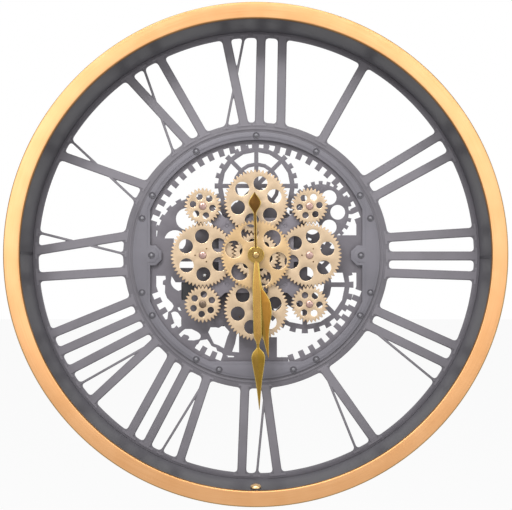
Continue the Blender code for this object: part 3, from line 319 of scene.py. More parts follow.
# Each row has a name, a dark and a light colour, the roughness, and what else its kind takes.
FINISHES = {
    turned_metal: (
        ("rim_gold", (0.69, 0.342, 0.132), (0.765, 0.41, 0.182), 0.34, 2600, 0.6),
        # The next three rows are darker copies of the rim's gold: painted shade on the outer rounding and the
        # inner lip.
        ("rim_edge_shade", (0.36, 0.22, 0.085), (0.46, 0.29, 0.12), 0.5),
        ("rim_shade", (0.31, 0.16, 0.06), (0.41, 0.225, 0.09), 0.40),
        ("rim_lip_shade", (0.20, 0.10, 0.04), (0.28, 0.15, 0.06), 0.45),
        ("gear_gold", (0.525, 0.388, 0.255), (0.580, 0.437, 0.291), 0.36, 3400, 0.0, 0.45),
        ("centre_gold", (0.545, 0.362, 0.178), (0.605, 0.410, 0.214), 0.36, 3400, 0.0, 0.45),
        ("hand_hub", (0.24, 0.145, 0.038), (0.33, 0.215, 0.063), 0.30, 5200),
        ("brass", (0.55, 0.38, 0.14), (0.68, 0.49, 0.21), 0.3),
    ),
    satin_metal: (
        # A lighter copy of the gears' gold for their hole edges, a painted highlight; darker copies for their
        # sides and tooth edges, painted shade.
        ("gear_hole_highlight", (0.84, 0.65, 0.42), (0.95, 0.76, 0.52), 0.28),
        ("gear_side_shade", (0.22, 0.12, 0.05), (0.34, 0.20, 0.09), 0.40, EVEN_GRAIN, 0.2, 0.5),
        ("tooth_edge_shade", (0.26, 0.16, 0.08), (0.38, 0.25, 0.14), 0.34, EVEN_GRAIN, 0.2, 0.5),
        ("hand_gold", (0.225, 0.134, 0.026), (0.27, 0.165, 0.035), 0.30, HAND_GRAIN, HAND_BUMP),
        # A paler copy of the hands' gold for the minute hand's shaft: painted highlight.
        ("hand_shaft_lit", (0.335, 0.192, 0.051), (0.395, 0.23, 0.063), 0.28, HAND_GRAIN, HAND_BUMP),
        # A darker copy for the minute hand's tail: painted shade.
        ("hand_tail_shade", (0.085, 0.040, 0.011), (0.12, 0.058, 0.016), 0.32, HAND_GRAIN, HAND_BUMP),
        # A lighter copy for one facet of the hour hand: painted light.
        ("hour_facet_lit", (0.30, 0.145, 0.026), (0.36, 0.178, 0.035), 0.32, HAND_GRAIN, HAND_BUMP),
        ("hand_edge", (0.40, 0.28, 0.06), (0.52, 0.38, 0.11), 0.25),
        ("hand_shade", (0.20, 0.12, 0.015), (0.28, 0.17, 0.03), 0.34, (300, 300, 3000)),
        # A darker copy for the hands' sides, rears and hub bore: painted shade.
        ("hand_side_shade", (0.10, 0.055, 0.01), (0.16, 0.09, 0.02), 0.38),
        ("hand_nut_gold", (0.36, 0.23, 0.09), (0.46, 0.31, 0.135), 0.22),
        ("steel", (0.42, 0.40, 0.38), (0.60, 0.57, 0.54), 0.32, (700, 700, 700)),
        ("pin_steel", (0.36, 0.23, 0.205), (0.52, 0.36, 0.32), 0.34),
        ("dark_steel", (0.12, 0.09, 0.07), (0.20, 0.15, 0.11), 0.38),
        ("chrome", (0.50, 0.50, 0.50), (0.64, 0.64, 0.64), 0.16),
        ("nickel", (0.48, 0.47, 0.44), (0.62, 0.60, 0.57), 0.26, (1500, 1500, 1500)),
        ("screw_gold", (0.62, 0.40, 0.18), (0.78, 0.54, 0.28), 0.32),
        ("dot_brown", (0.10, 0.06, 0.03), (0.18, 0.11, 0.05), 0.45),
        ("cell_finish", (0.10, 0.11, 0.13), (0.17, 0.18, 0.20), 0.35, CELL_GRAIN),
        ("cell_band", (0.42, 0.30, 0.12), (0.52, 0.38, 0.17), 0.32, CELL_GRAIN),
    ),
    paint: (
        ("dark_grey", (0.122, 0.114, 0.129), (0.149, 0.140, 0.157), 0.52),
        ("numeral_grey", (0.166, 0.156, 0.173), (0.200, 0.188, 0.210), 0.52),
        ("band_grey", (0.142, 0.136, 0.155), (0.174, 0.166, 0.189), 0.5),
        # A darker copy of the dial paint for the sides and edges of plates, band and letters: painted shade.
        ("dark_edge_shade", (0.085, 0.080, 0.092), (0.12, 0.113, 0.13), 0.5),
        ("liner_edge", (0.035, 0.034, 0.040), (0.055, 0.053, 0.060), 0.5),
        ("plate_grey", (0.128, 0.118, 0.134), (0.160, 0.148, 0.168), 0.52),
        # A lighter copy of the plate paint for the plates' hole edges: painted highlight.
        ("plate_hole_highlight", (0.20, 0.19, 0.22), (0.25, 0.24, 0.27), 0.45),
        # A lighter copy of the back plate's paint: painted light that lifts the shade cast by the gears.
        ("gear_plate_lit_grey", (0.160, 0.146, 0.166), (0.200, 0.183, 0.207), 0.52),
        ("rivet_grey", (0.15, 0.145, 0.16), (0.20, 0.195, 0.215), 0.30),
        # A darker copy of the rivet paint for the rivets' low rim: painted shade.
        ("rivet_ring_shade", (0.045, 0.042, 0.050), (0.075, 0.070, 0.082), 0.40),
        ("black_plastic", (0.012, 0.012, 0.014), (0.022, 0.022, 0.025), 0.46, PLASTIC_GRAIN, PLASTIC_BUMP),
        ("cover_plastic", (0.030, 0.030, 0.034), (0.048, 0.048, 0.053), 0.5, PLASTIC_GRAIN, PLASTIC_BUMP),
        ("knob_plastic", (0.46, 0.46, 0.44), (0.58, 0.58, 0.55), 0.5, PLASTIC_GRAIN, PLASTIC_BUMP),
    ),
    front_shaded_wall_paint: (
        # Dark paint, darker towards the wall's front: painted shade under the rim's lip.
        ("liner_grey", (0.042, 0.040, 0.045), (0.112, 0.108, 0.120), 0.5, -68 * MM, -20 * MM),
    ),
}
FINISH = {name: finished(name, kind, values) for kind, rows in FINISHES.items() for name, *values in rows}


# Outlines, as lists of (x, z) points

def polar(radius, angle, centre=AXIS):
    return (centre[0] + radius * math.cos(angle), centre[1] + radius * math.sin(angle))


def clock_point(radius, angle):
    """The point at an angle that runs clockwise from the top of the dial."""
    return polar(radius, TURN / 4 - angle)


def circle(radius, sides, centre=AXIS):
    return [polar(radius, TURN * i / sides, centre) for i in range(sides)]


def arc_points(centre, radius, start, end, steps):
    """Points on an arc, from angle to angle in degrees."""
    return [polar(radius, math.radians(start + (end - start) * i / steps), centre) for i in range(steps + 1)]


def signed_area(outline):
    return sum(a[0] * b[1] - b[0] * a[1] for a, b in zip(outline, outline[1:] + outline[:1])) / 2


def turn_at(loop, i):
    """The angle by which a loop turns at one of its points."""
    corner = Vector(loop[i])
    back = corner - Vector(loop[i - 1])
    ahead = Vector(loop[(i + 1) % len(loop)]) - corner
    return back.angle(ahead, 0.0)


def followed(sides):
    """The loops made by the sides that no side runs back along."""
    following = {a: b for a, b in sides if (b, a) not in sides}
    loops = []
    while following:
        start = min(following)
        loop = [start]
        current = following.pop(start)
        while current != start:
            loop.append(current)
            current = following.pop(current)
        loops.append(loop)
    return loops


FLAT_NORMAL = 0.9
FLAT_DEPTH = 0.1 * MM


def rear_loops(name):
    """The loops round the flat rear of a node: anticlockwise outside, clockwise round a hole."""
    mesh = NODES[name].data
    rear = max(vert.co.y for vert in mesh.vertices)
    places = [(round(vert.co.x, 6), round(vert.co.z, 6)) for vert in mesh.vertices]
    sides = set()
    for face in mesh.polygons:
        if face.normal.y > FLAT_NORMAL and abs(face.center.y - rear) < FLAT_DEPTH:
            corners = [places[i] for i in reversed(face.vertices)]
            sides.update((corners[i - 1], corners[i]) for i in range(len(corners)))
    return followed(sides)


def middle_of_loop(loop):
    return sum((Vector(point) for point in loop), Vector((0, 0))) / len(loop)


def is_round(loop):
    """Whether a loop is a regular polygon, which stands for a circle."""
    middle = middle_of_loop(loop)
    reaches = [(Vector(point) - middle).length for point in loop]
    return len(loop) >= 6 and max(reaches) - min(reaches) < 0.02 * MM


def is_small_hole(loop):
    return is_round(loop) and len(loop) < 20


def round_loop(loop, spacing):
    """The circle that a regular polygon stands for, with sides of about the given length."""
    middle = middle_of_loop(loop)
    radius = (Vector(loop[0]) - middle).length
    sides = max(24, 4 * round(TURN * radius / spacing / 4))
    made = circle(radius, sides, tuple(middle))
    return made if signed_area(loop) > 0 else made[::-1]


def nearer(start, point, reach):
    """The point, or one on the way to it that is no further off than the reach."""
    way = Vector(point) - start
    return start + way * min(1.0, reach / way.length)


RING_RADII = tuple(radius * MM for radius in (130, 138, 143, 153, 158))
LONGEST_CURVED = 6 * MM
LONGEST_ARC = 20 * MM
SMOOTH_ROUNDS = 2
SMOOTH_SPACING = 3.5 * MM
BLEND_REACH = 0.45
EASE_STEPS = 5


def ring_middle(start, end):
    """The middle of an arc of one of the clock's rings, or nothing if the points aren't on one."""
    if (end - start).length > LONGEST_ARC or abs(start.length - end.length) > 0.02 * MM:
        return None
    if all(abs(start.length - radius) > 0.05 * MM for radius in RING_RADII):
        return None
    return (start + end).normalized() * start.length


def smoothed(loop, sharp):
    """The loop with points added so that its gentle corners become curves and its sharp ones stay."""
    for _ in range(SMOOTH_ROUNDS):
        sharp_at = [turn_at(loop, i) > sharp for i in range(len(loop))]
        made = []
        for i, point in enumerate(loop):
            made.append(point)
            after = (i + 1) % len(loop)
            start, end = Vector(point), Vector(loop[after])
            reach = (end - start).length
            if reach < SMOOTH_SPACING / 4:
                continue
            middle = ring_middle(start, end)
            if middle:
                made.append(tuple(middle))
            elif reach < LONGEST_CURVED:
                before = start * 2 - end if sharp_at[i] else nearer(start, loop[i - 1], reach)
                beyond = end * 2 - start if sharp_at[after] else nearer(end, loop[(i + 2) % len(loop)], reach)
                made.append(tuple((start + end) * 9 / 16 - (before + beyond) / 16))
        loop = made
    return loop


def fine_loops(name, sharp_degrees):
    """The loops of a flat node with its circles and gentle curves made fine."""
    sharp = math.radians(sharp_degrees)
    loops = rear_loops(name)
    return [round_loop(loop, SMOOTH_SPACING) if is_round(loop) else smoothed(loop, sharp) for loop in loops]


def walked(loop, i, step, reach):
    """How far a walk along the loop from a corner gets, and the number of the last corner passed."""
    place = Vector(loop[i])
    while True:
        i = (i + step) % len(loop)
        ahead = Vector(loop[i])
        length = (ahead - place).length
        if length >= reach:
            return tuple(place + (ahead - place) * reach / length), i
        reach -= length
        place = ahead


def way_between(loop, first, last):
    """The length of the loop from one of its corners on to another."""
    length = 0.0
    while first != last:
        after = (first + 1) % len(loop)
        length += math.dist(loop[first], loop[after])
        first = after
    return length


def eased(loop, reach, sharp_degrees=28):
    """The loop with its sharp corners rounded off, each over the given reach to both of its sides."""
    count = len(loop)
    corners = [i for i in range(count) if turn_at(loop, i) > math.radians(sharp_degrees)]
    if not corners:
        return loop
    made = []
    for place, corner in enumerate(corners):
        before, after = corners[place - 1], corners[(place + 1) % len(corners)]
        room_back = way_between(loop, before, corner) if before != corner else 4 * reach
        room_ahead = way_between(loop, corner, after) if after != corner else 4 * reach
        near = min(reach, BLEND_REACH * room_back, BLEND_REACH * room_ahead)
        start, _ = walked(loop, corner, -1, near)
        end, following = walked(loop, corner, 1, near)
        for i in range(EASE_STEPS + 1):
            share = i / EASE_STEPS
            middle = Vector(loop[corner]) * 2 * share * (1 - share)
            made.append(tuple(Vector(start) * (1 - share)**2 + middle + Vector(end) * share**2))
        near_after = min(reach, BLEND_REACH * room_ahead)
        gone = near + (Vector(end) - Vector(loop[following])).length
        total = room_ahead if after != corner else way_between(loop, corner, (corner - 1) % count)
        while following != after and gone < total - near_after:
            made.append(loop[following])
            ahead = (following + 1) % count
            gone += math.dist(loop[following], loop[ahead])
            following = ahead
    return made


def region_loops(outlines):
    """The loops round the region that is left when (adds, outline) pairs are laid down in turn."""
    points = []
    loops = []
    for _, outline in outlines:
        loops.append(list(range(len(points), len(points) + len(outline))))
        points += outline if signed_area(outline) > 0 else outline[::-1]
    vectors = [Vector(point) for point in points]
    found, _, faces, _, _, sources = delaunay_2d_cdt(vectors, [], loops, 0, 1e-7, True)
    sides = set()
    for face, inside in zip(faces, sources):
        signs = [adds for i, (adds, _) in enumerate(outlines) if i in inside]
        if signs and signs[-1]:
            sides.update((face[i - 1], face[i]) for i in range(len(face)))
    return [[tuple(found[i]) for i in loop] for loop in followed(sides)]


def inset(loop, amount):
    """The loop moved into the material by the given amount."""
    made = []
    for i, point in enumerate(loop):
        corner = Vector(point)
        back = (corner - Vector(loop[i - 1])).normalized()
        ahead = (Vector(loop[(i + 1) % len(loop)]) - corner).normalized()
        side = Vector((-back.y - ahead.y, back.x + ahead.x))
        if side.length < TOUCH:
            made.append(point)
            continue
        side.normalize()
        cosine = max(0.5, side.dot(Vector((-ahead.y, ahead.x))))
        made.append(tuple(corner + side * amount / cosine))
    return made


# Pieces

SMOOTH = 24


def add_piece(name, bm, finishes, slot, spot=AXIS, depth=0.0, body="case", replaced=(), smooth=SMOOTH):
    """Finish a mesh made in place as a piece of the clock, with its origin at a spot and a depth."""
    origin = Vector((spot[0], depth, spot[1]))
    bmesh.ops.recalc_face_normals(bm, faces=bm.faces)
    bmesh.ops.translate(bm, verts=bm.verts, vec=-origin)
    mesh = bpy.data.meshes.new(name)
    bm.to_mesh(mesh)
    bm.free()
    for finish in finishes:
        mesh.materials.append(FINISH[finish])
    mesh.shade_smooth()
    mesh.set_sharp_from_angle(angle=math.radians(smooth))
    made = linked(name, mesh, origin)
    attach(made, body)
    if replaced:
        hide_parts(*replaced)
    return made


def remade(name, bm, finishes, spot=AXIS, **settings):
    """A node made again in fine, on the node's body."""
    body = NODES[name]["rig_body"]
    return add_piece(name + "_fine", bm, finishes, SLOTS[name], spot, body=body, replaced=(name,), **settings)


def walls(bm, rings, materials, ends=True):
    """Faces from ring to ring, and on the two ends. Each level has one material, or one for each side."""
    for level, (near, far) in enumerate(zip(rings, rings[1:])):
        for i in range(max(len(near), len(far))):
            corners = [ring[j % len(ring)] for ring, j in ((near, i - 1), (near, i), (far, i), (far, i - 1))]
            face = bm.faces.new(list(dict.fromkeys(corners)))
            kind = materials[level]
            face.material_index = kind if isinstance(kind, int) else kind[i - 1]
    for end in (rings[0], rings[-1]):
        if ends and len(end) > 1:
            bm.faces.new(end)


def plate_into(bm, loops, front, rear, edge, steps=2, outer_edge=1):
    """A flat plate with rounded edges. Its flats take material 0, its holes' edges 1 and its sides 2."""
    angles = [TURN / 4 * i / steps for i in range(steps + 1)]
    rounding = [(edge * (1 - math.sin(a)), edge * (1 - math.cos(a))) for a in angles]
    profile = [(inward, front + back) for inward, back in rounding]
    profile += [(inward, rear - back) for inward, back in reversed(rounding)]
    rings = []
    for loop in loops:
        columns = [inset(loop, inward) for inward, _ in profile]
        rings.append([[bm.verts.new((x, depth, z)) for x, z in column]
                      for column, (_, depth) in zip(columns, profile)])
    for loop, ring in zip(loops, rings):
        rounded = outer_edge if signed_area(loop) > 0 else 1
        walls(bm, ring, [rounded] * steps + [2] + [rounded] * steps, ends=False)
    for level in (0, len(profile) - 1):
        outline = [vert for ring in rings for vert in ring[level]]
        vectors = [Vector((vert.co.x, vert.co.z)) for vert in outline]
        starts = []
        count = 0
        for ring in rings:
            starts.append(list(range(count, count + len(ring[level]))))
            count += len(ring[level])
        order = sorted(range(len(loops)), key=lambda i: -abs(signed_area(loops[i])))
        signs = [signed_area(loops[i]) > 0 for i in order]
        faces_in = [starts[i] if signed_area(loops[i]) > 0 else starts[i][::-1] for i in order]
        found, _, faces, sources, _, inside = delaunay_2d_cdt(vectors, [], faces_in, 0, 1e-8, True)
        verts = []
        for place, source in zip(found, sources):
            verts.append(outline[source[0]] if source else bm.verts.new((place.x, outline[0].co.y, place.y)))
        for face, within in zip(faces, inside):
            laid = [signs[i] for i in range(len(order)) if i in within]
            corners = [verts[i] for i in face]
            if laid and laid[-1] and len(set(corners)) == len(corners) and not bm.faces.get(corners):
                bm.faces.new(corners)
    return bm


def remade_plate(name, loops, edge, finishes, spot=AXIS):
    """A flat node again, from fine loops. A fourth finish goes on its outer edge."""
    low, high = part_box(name)
    bm = plate_into(bmesh.new(), loops, low.y, high.y, edge, outer_edge=3 if len(finishes) > 3 else 1)
    remade(name, bm, finishes, spot)


def turned_into(bm, profile, sides, spot=AXIS, closed=False, indices=()):
    """A shape turned about the Y axis through the spot, from (radius, y) points."""
    rings = []
    for radius, depth in profile:
        points = circle(radius, sides, spot) if radius > 0 else [spot]
        rings.append([bm.verts.new((x, depth, z)) for x, z in points])
    if closed:
        rings.append(rings[0])
    walls(bm, rings, list(indices) + [0] * (len(rings) - len(indices)), ends=not closed)
    return bm


def turned(*shape, **settings):
    return turned_into(bmesh.new(), *shape, **settings)


def dome_profile(radius, height, seat, steps):
    """A rounded head, from its top to its rim at the seat."""
    angles = [TURN / 4 * i / steps for i in range(steps + 1)]
    return [(radius * math.sin(angle), seat - height * math.cos(angle)) for angle in angles]


def carved(bm, *cutters):
    """The mesh less each cutter mesh."""
    scratch = []
    for part in (bm, *cutters):
        bmesh.ops.recalc_face_normals(part, faces=part.faces)
        mesh = bpy.data.meshes.new("scratch")
        part.to_mesh(mesh)
        part.free()
        scratch.append(linked("scratch", mesh))
    for cutter in scratch[1:]:
        difference = scratch[0].modifiers.new("cut", "BOOLEAN")
        difference.operation = "DIFFERENCE"
        difference.object = cutter
    evaluated = scratch[0].evaluated_get(bpy.context.evaluated_depsgraph_get())
    made = bmesh.new()
    made.from_mesh(evaluated.to_mesh())
    for holder in scratch:
        mesh = holder.data
        bpy.data.objects.remove(holder)
        bpy.data.meshes.remove(mesh)
    return made


def box_mesh(low, high):
    low, high = Vector(low), Vector(high)
    bm = bmesh.new()
    bmesh.ops.create_cube(bm, size=1.0)
    bmesh.ops.scale(bm, vec=high - low, verts=bm.verts)
    bmesh.ops.translate(bm, vec=(low + high) / 2, verts=bm.verts)
    return bm


def rounded_box(low, high, corner, front_corner=0.0):
    """A box whose edges along Y are rounded, and those round its front too if asked."""
    bm = box_mesh(low, high)
    upright = [edge for edge in bm.edges if abs(edge.verts[0].co.y - edge.verts[1].co.y) > TOUCH]
    bmesh.ops.bevel(bm, geom=upright, offset=corner, segments=5, profile=0.5, affect="EDGES")
    if front_corner:
        front = [edge for edge in bm.edges if all(abs(vert.co.y - low[1]) < TOUCH for vert in edge.verts)]
        bmesh.ops.bevel(bm, geom=front, offset=front_corner, segments=3, profile=0.5, affect="EDGES")
    return bm


def measures(name):
    """A node's low and high corners, the spot of its middle, and its radius."""
    low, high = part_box(name)
    middle = (low + high) / 2
    return low, high, (middle.x, middle.z), (high.x - low.x) / 2


def spot_of(name):
    return measures(name)[2]


# Rim

RIM_SIDES = 360
FACE_WIDTH = 19.7 * MM
HOOP_SHEET = 1.8 * MM
HOOP_ROUNDING = 1.6 * MM
LIP_ROUNDING = 2.4 * MM
GAP = 0.3 * MM


def outer_hoop():
    """The rolled hoop: its face, the lip inside it, and its wall."""
    low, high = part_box("outer_hoop")
    radius, front, rear = high.x, low.y, high.y
    inner = radius - FACE_WIDTH
    lip_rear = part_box("inner_liner")[0].y - GAP
    profile = [(radius, rear)]
    profile += arc_points((radius - HOOP_ROUNDING, front + HOOP_ROUNDING), HOOP_ROUNDING, 0, -90, 8)
    edge_levels = len(profile) - 1
    profile += arc_points((inner + LIP_ROUNDING, front + LIP_ROUNDING), LIP_ROUNDING, -90, -180, 6)
    profile += [(inner, lip_rear), (inner + HOOP_SHEET, lip_rear), (inner + HOOP_SHEET, front + HOOP_SHEET)]
    profile += [(radius - HOOP_SHEET, front + HOOP_SHEET), (radius - HOOP_SHEET, rear)]
    # The outer rounding, the lip's inner curve and its wall take the darker copies of the gold: painted
    # shade.
    indices = [0] + [2] * (edge_levels - 1) + [0, 0, 0, 3, 3, 1, 1, 1]
    bm = turned(profile, RIM_SIDES, closed=True, indices=indices)
    remade("outer_hoop", bm, ("rim_gold", "rim_lip_shade", "rim_edge_shade", "rim_shade"))


# Inner wall of the rim

LINER_SHEET = 1.5 * MM
LINER_EDGE = 0.4 * MM
DIAL_RADIUS = 277.2 * MM
LEDGE_WIDTH = 6 * MM
LINER_FRONT_RADIUS = 280 * MM
KEYHOLE_HALF = 6 * MM
KEYHOLE_FOOT = 281 * MM
KEYHOLE_HEAD = 296 * MM
STRIP_LIFT = 0.4 * MM
STRIP_MARGIN = 1 * MM
STRIP_STEPS = 4
LINER_STRIPS = (
    # name, its middle and half its width in degrees, finish
    ("liner_seam_left", 179.5, 0.36, "liner_edge"),
    ("liner_seam_right", -0.5, 0.36, "liner_edge"),
    ("liner_lap_foot", -88.4, 1.6, "liner_grey"),
)


def liner_strip(name, middle_degrees, half_degrees, finish):
    """A strip on the inner wall, from near its front edge to the dial."""
    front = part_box("inner_liner")[0].y + STRIP_MARGIN
    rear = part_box("dial_plate")[0].y
    section = ((LINER_FRONT_RADIUS, front), (LINER_FRONT_RADIUS - STRIP_LIFT, front),
               (DIAL_RADIUS - STRIP_LIFT, rear), (DIAL_RADIUS, rear))
    bm = bmesh.new()
    rows = []
    for i in range(STRIP_STEPS + 1):
        angle = math.radians(middle_degrees + half_degrees * (2 * i / STRIP_STEPS - 1))
        corners = [(polar(radius, angle), depth) for radius, depth in section]
        rows.append([bm.verts.new((x, depth, z)) for (x, z), depth in corners])
    walls(bm, rows, [0] * STRIP_STEPS)
    add_piece(name, bm, (finish,), "liner_grey")


def inner_liner():
    """The deep wall inside the rim, with the ledge behind the dial, and its back flange."""
    low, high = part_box("inner_liner")
    front, rear = low.y, high.y
    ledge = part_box("dial_plate")[1].y + GAP
    profile = [
        (LINER_FRONT_RADIUS, front + LINER_EDGE),
        (DIAL_RADIUS, ledge),
        (DIAL_RADIUS - LEDGE_WIDTH, ledge),
        (DIAL_RADIUS - LEDGE_WIDTH, ledge + LINER_SHEET),
        (DIAL_RADIUS, ledge + LINER_SHEET),
        (DIAL_RADIUS, rear - LINER_SHEET),
        (DIAL_RADIUS + LINER_SHEET, rear - LINER_SHEET),
        (LINER_FRONT_RADIUS + LINER_SHEET, front + LINER_EDGE),
        (LINER_FRONT_RADIUS + LINER_SHEET - LINER_EDGE, front),
        (LINER_FRONT_RADIUS + LINER_EDGE, front),
    ]
    bm = turned(profile, RIM_SIDES, closed=True)
    keyhole = [(KEYHOLE_HALF, KEYHOLE_FOOT), (-KEYHOLE_HALF, KEYHOLE_FOOT), (-KEYHOLE_HALF, KEYHOLE_HEAD),
               (KEYHOLE_HALF, KEYHOLE_HEAD)]
    flange = [circle(high.x, RIM_SIDES), circle(DIAL_RADIUS, RIM_SIDES)[::-1], keyhole]
    plate_into(bm, flange, rear - LINER_SHEET, rear, GAP)
    remade("inner_liner", bm, ("liner_grey",) * 3)
    for strip in LINER_STRIPS:
        liner_strip(*strip)


SCREW_HEAD_HEIGHT = 4.5 * MM
SCREW_SHANK = 2 * MM
SCREW_NECK = 0.25 * MM
SCREW_SLOT_HALF = 0.7 * MM


def liner_screw():
    """The round-headed screw at the foot of the rim, made at the origin and turned to point up."""
    low, high, _, radius = measures("liner_screw")
    profile = dome_profile(radius, SCREW_HEAD_HEIGHT, 0.0, 10)
    profile += [(radius, SCREW_NECK), (SCREW_SHANK, SCREW_NECK)]
    profile.append((SCREW_SHANK, high.z - low.z - SCREW_HEAD_HEIGHT))
    slot = box_mesh((-radius, -SCREW_HEAD_HEIGHT * 1.1, -SCREW_SLOT_HALF),
                    (radius, -SCREW_HEAD_HEIGHT * 0.45, SCREW_SLOT_HALF))
    made = remade("liner_screw", carved(turned(profile, 48), slot), ("screw_gold",))
    made.rotation_euler = (-TURN / 4, 0, 0)
    made.location = (0, (low.y + high.y) / 2, high.z - SCREW_HEAD_HEIGHT)


# Dial

NUMERALS = (
    # for each hour, its letters with their places at the head and at the foot
    (("I", -0.002, -0.001),),
    (("I", -0.0154, -0.0130), ("I", 0.0129, 0.0100)),
    (("I", -0.0291, -0.0222), ("I", 0.0006, 0.0006), ("I", 0.0254, 0.0217)),
    (("I", -0.0265, -0.0149), ("V", 0.0113, 0.0062)),
    (("V", 0.0003, -0.0022),),
    (("V", -0.0136, -0.0114), ("I", 0.0182, 0.0140)),
    (("V", -0.0326, -0.0226), ("I", 0.0005, 0.0051), ("I", 0.0252, 0.0275)),
    (("V", -0.0418, -0.0298), ("I", -0.0074, -0.0125), ("I", 0.0187, 0.0070), ("I", 0.0430, 0.0280)),
    (("I", -0.0267, -0.0198), ("X", 0.0174, 0.0130)),
    (("X", -0.0024, -0.0049),),
    (("X", -0.0159, -0.0141), ("I", 0.0187, 0.0182)),
    (("X", -0.0264, -0.0264), ("I", 0.0062, 0.0037), ("I", 0.0325, 0.0306)),
)
STROKE_WIDTH = 11.2 * MM
HAIRLINE_WIDTH = 3 * MM
V_HALF_SPREAD = 13 * MM
X_HALF_SPREAD = 11.5 * MM
HEAD_RADIUS = 273 * MM
FOOT_RADIUS = 162 * MM
RELIEF = 0.45 * MM
RELIEF_MARGIN = 0.9 * MM
SERIF_DEPTH = 2.6 * MM
SERIF_REACH = 4.6 * MM
SERIF_STEPS = 6
SEAT = 0.05 * MM
BEAD_RADIUS = 157 * MM
BEAD_HALF_WIDTH = 1.5 * MM
BEAD_HEIGHT = 0.7 * MM
BEAD_STEPS = 6
DIAL_OUTER = DIAL_RADIUS - 0.1 * MM
DIAL_RIM_INNER = 270 * MM
DIAL_FOOT_RING = 165 * MM
DIAL_BORE = 144 * MM
WINDOW_REACH = 4.8 * MM
BAND_RELIEF_RADIUS = 150.2 * MM
BAND_RELIEF_MARGIN = 3.7 * MM
BAND_RELIEF = 0.4 * MM
BAND_SHARP_DEGREES = 40


def letter_strokes(letter, head, foot):
    """Each stroke of a letter: its place at the head, its place at the foot, and its width."""
    if letter == "I":
        return ((head, foot, STROKE_WIDTH),)
    spread = V_HALF_SPREAD if letter == "V" else X_HALF_SPREAD
    far = 0.0 if letter == "V" else spread
    return ((head - spread, foot + far, STROKE_WIDTH), (head + spread, foot - far, HAIRLINE_WIDTH))


def hour_strokes(hour):
    """Each stroke of an hour's numeral: its angles at the head and at the foot, and its width."""
    middle = TURN / 12 * hour
    return [(middle + head_place / HEAD_RADIUS, middle + foot_place / FOOT_RADIUS, width)
            for letter, head, foot in NUMERALS[hour - 1]
            for head_place, foot_place, width in letter_strokes(letter, head, foot)]


def stroke_outline(head_angle, foot_angle, width):
    start = Vector(clock_point(HEAD_RADIUS, head_angle))
    end = Vector(clock_point(FOOT_RADIUS, foot_angle))
    along = end - start
    side = Vector((-along.y, along.x)).normalized() * width / 2
    return [tuple(corner) for corner in (start + side, start - side, end - side, end + side)]


def serif(radius, middle, half_width):
    """A short bar across a stroke's end, bent round the dial."""
    half = half_width / radius
    angles = [middle - half + 2 * half * i / SERIF_STEPS for i in range(SERIF_STEPS + 1)]
    outer = [clock_point(radius + SERIF_DEPTH / 2, angle) for angle in angles]
    inner = [clock_point(radius - SERIF_DEPTH / 2, angle) for angle in angles]
    return outer + inner[::-1]


def numeral_relief():
    """The letters, raised a little on the dial, with serifs that lie on its two rings."""
    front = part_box("dial_plate")[0].y
    for hour in range(1, 13):
        outlines = []
        for head_angle, foot_angle, width in hour_strokes(hour):
            wide = width > HAIRLINE_WIDTH
            narrow = width - 2 * RELIEF_MARGIN if wide else width - RELIEF_MARGIN
            half = width / 2 + SERIF_REACH if wide else SERIF_REACH
            outlines.append((True, stroke_outline(head_angle, foot_angle, narrow)))
            outlines.append((True, serif(HEAD_RADIUS, head_angle, half)))
            outlines.append((True, serif(FOOT_RADIUS, foot_angle, half * 0.8)))
        bm = plate_into(bmesh.new(), region_loops(outlines), front - RELIEF, front + SEAT, 0.2 * MM, steps=1)
        # The letters' sides take the darker paint: painted shade.
        add_piece(f"numeral_{hour:02d}", bm, ("numeral_grey", "numeral_grey", "dark_edge_shade"), "dark_grey")


def dial_bead():
    """A low rounded ridge round the dial."""
    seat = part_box("dial_plate")[0].y
    profile = []
    for i in range(BEAD_STEPS + 1):
        angle = TURN / 2 * i / BEAD_STEPS
        across, up = BEAD_HALF_WIDTH * math.cos(angle), BEAD_HEIGHT * math.sin(angle)
        profile.append((BEAD_RADIUS + across, seat - up))
    profile += [(BEAD_RADIUS + side * BEAD_HALF_WIDTH, seat + SEAT) for side in (-1, 1)]
    add_piece("dial_bead", turned(profile, RIM_SIDES, closed=True), ("dark_grey",), "dark_grey")


def dial_loops():
    """The dial's outline and windows: two rings, and the numerals' strokes between them."""
    outlines = [(True, circle(DIAL_OUTER, 720)), (False, circle(DIAL_RIM_INNER, 720)),
                (True, circle(DIAL_FOOT_RING, 480)), (False, circle(DIAL_BORE, 360))]
    outlines += [(True, stroke_outline(*stroke)) for hour in range(1, 13) for stroke in hour_strokes(hour)]
    rivet_holes = [round_loop(loop, 1 * MM) for loop in rear_loops("dial_plate") if is_small_hole(loop)]
    return [eased(loop, WINDOW_REACH) for loop in region_loops(outlines)] + rivet_holes


def band_relief():
    """The raised middle of the band, a little in from its edges."""
    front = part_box("centre_band")[0].y
    loops = [circle(BAND_RELIEF_RADIUS, RIM_SIDES)]
    for loop in fine_loops("centre_band", BAND_SHARP_DEGREES):
        if signed_area(loop) < 0 and len(loop) > 40:
            loops.append(inset(loop, BAND_RELIEF_MARGIN))
    bm = plate_into(bmesh.new(), loops, front - BAND_RELIEF, front + 0.1 * MM, 0.3 * MM)
    # The relief's sides take the darker paint: painted shade.
    add_piece("band_relief", bm, ("band_grey", "band_grey", "dark_edge_shade"), "dark_grey")


def dial():
    # The sides of the dial and band take the darker paint: painted shade.
    remade_plate("dial_plate", dial_loops(), 0.25 * MM, ("dark_grey", "dark_grey", "dark_edge_shade"))
    remade_plate("centre_band", fine_loops("centre_band", BAND_SHARP_DEGREES), 0.45 * MM,
                 ("band_grey", "band_grey", "dark_edge_shade"))
    band_relief()
    numeral_relief()
    dial_bead()


RIVET_SHANK = 1.5 * MM
RIVET_DOME_STEPS = 8


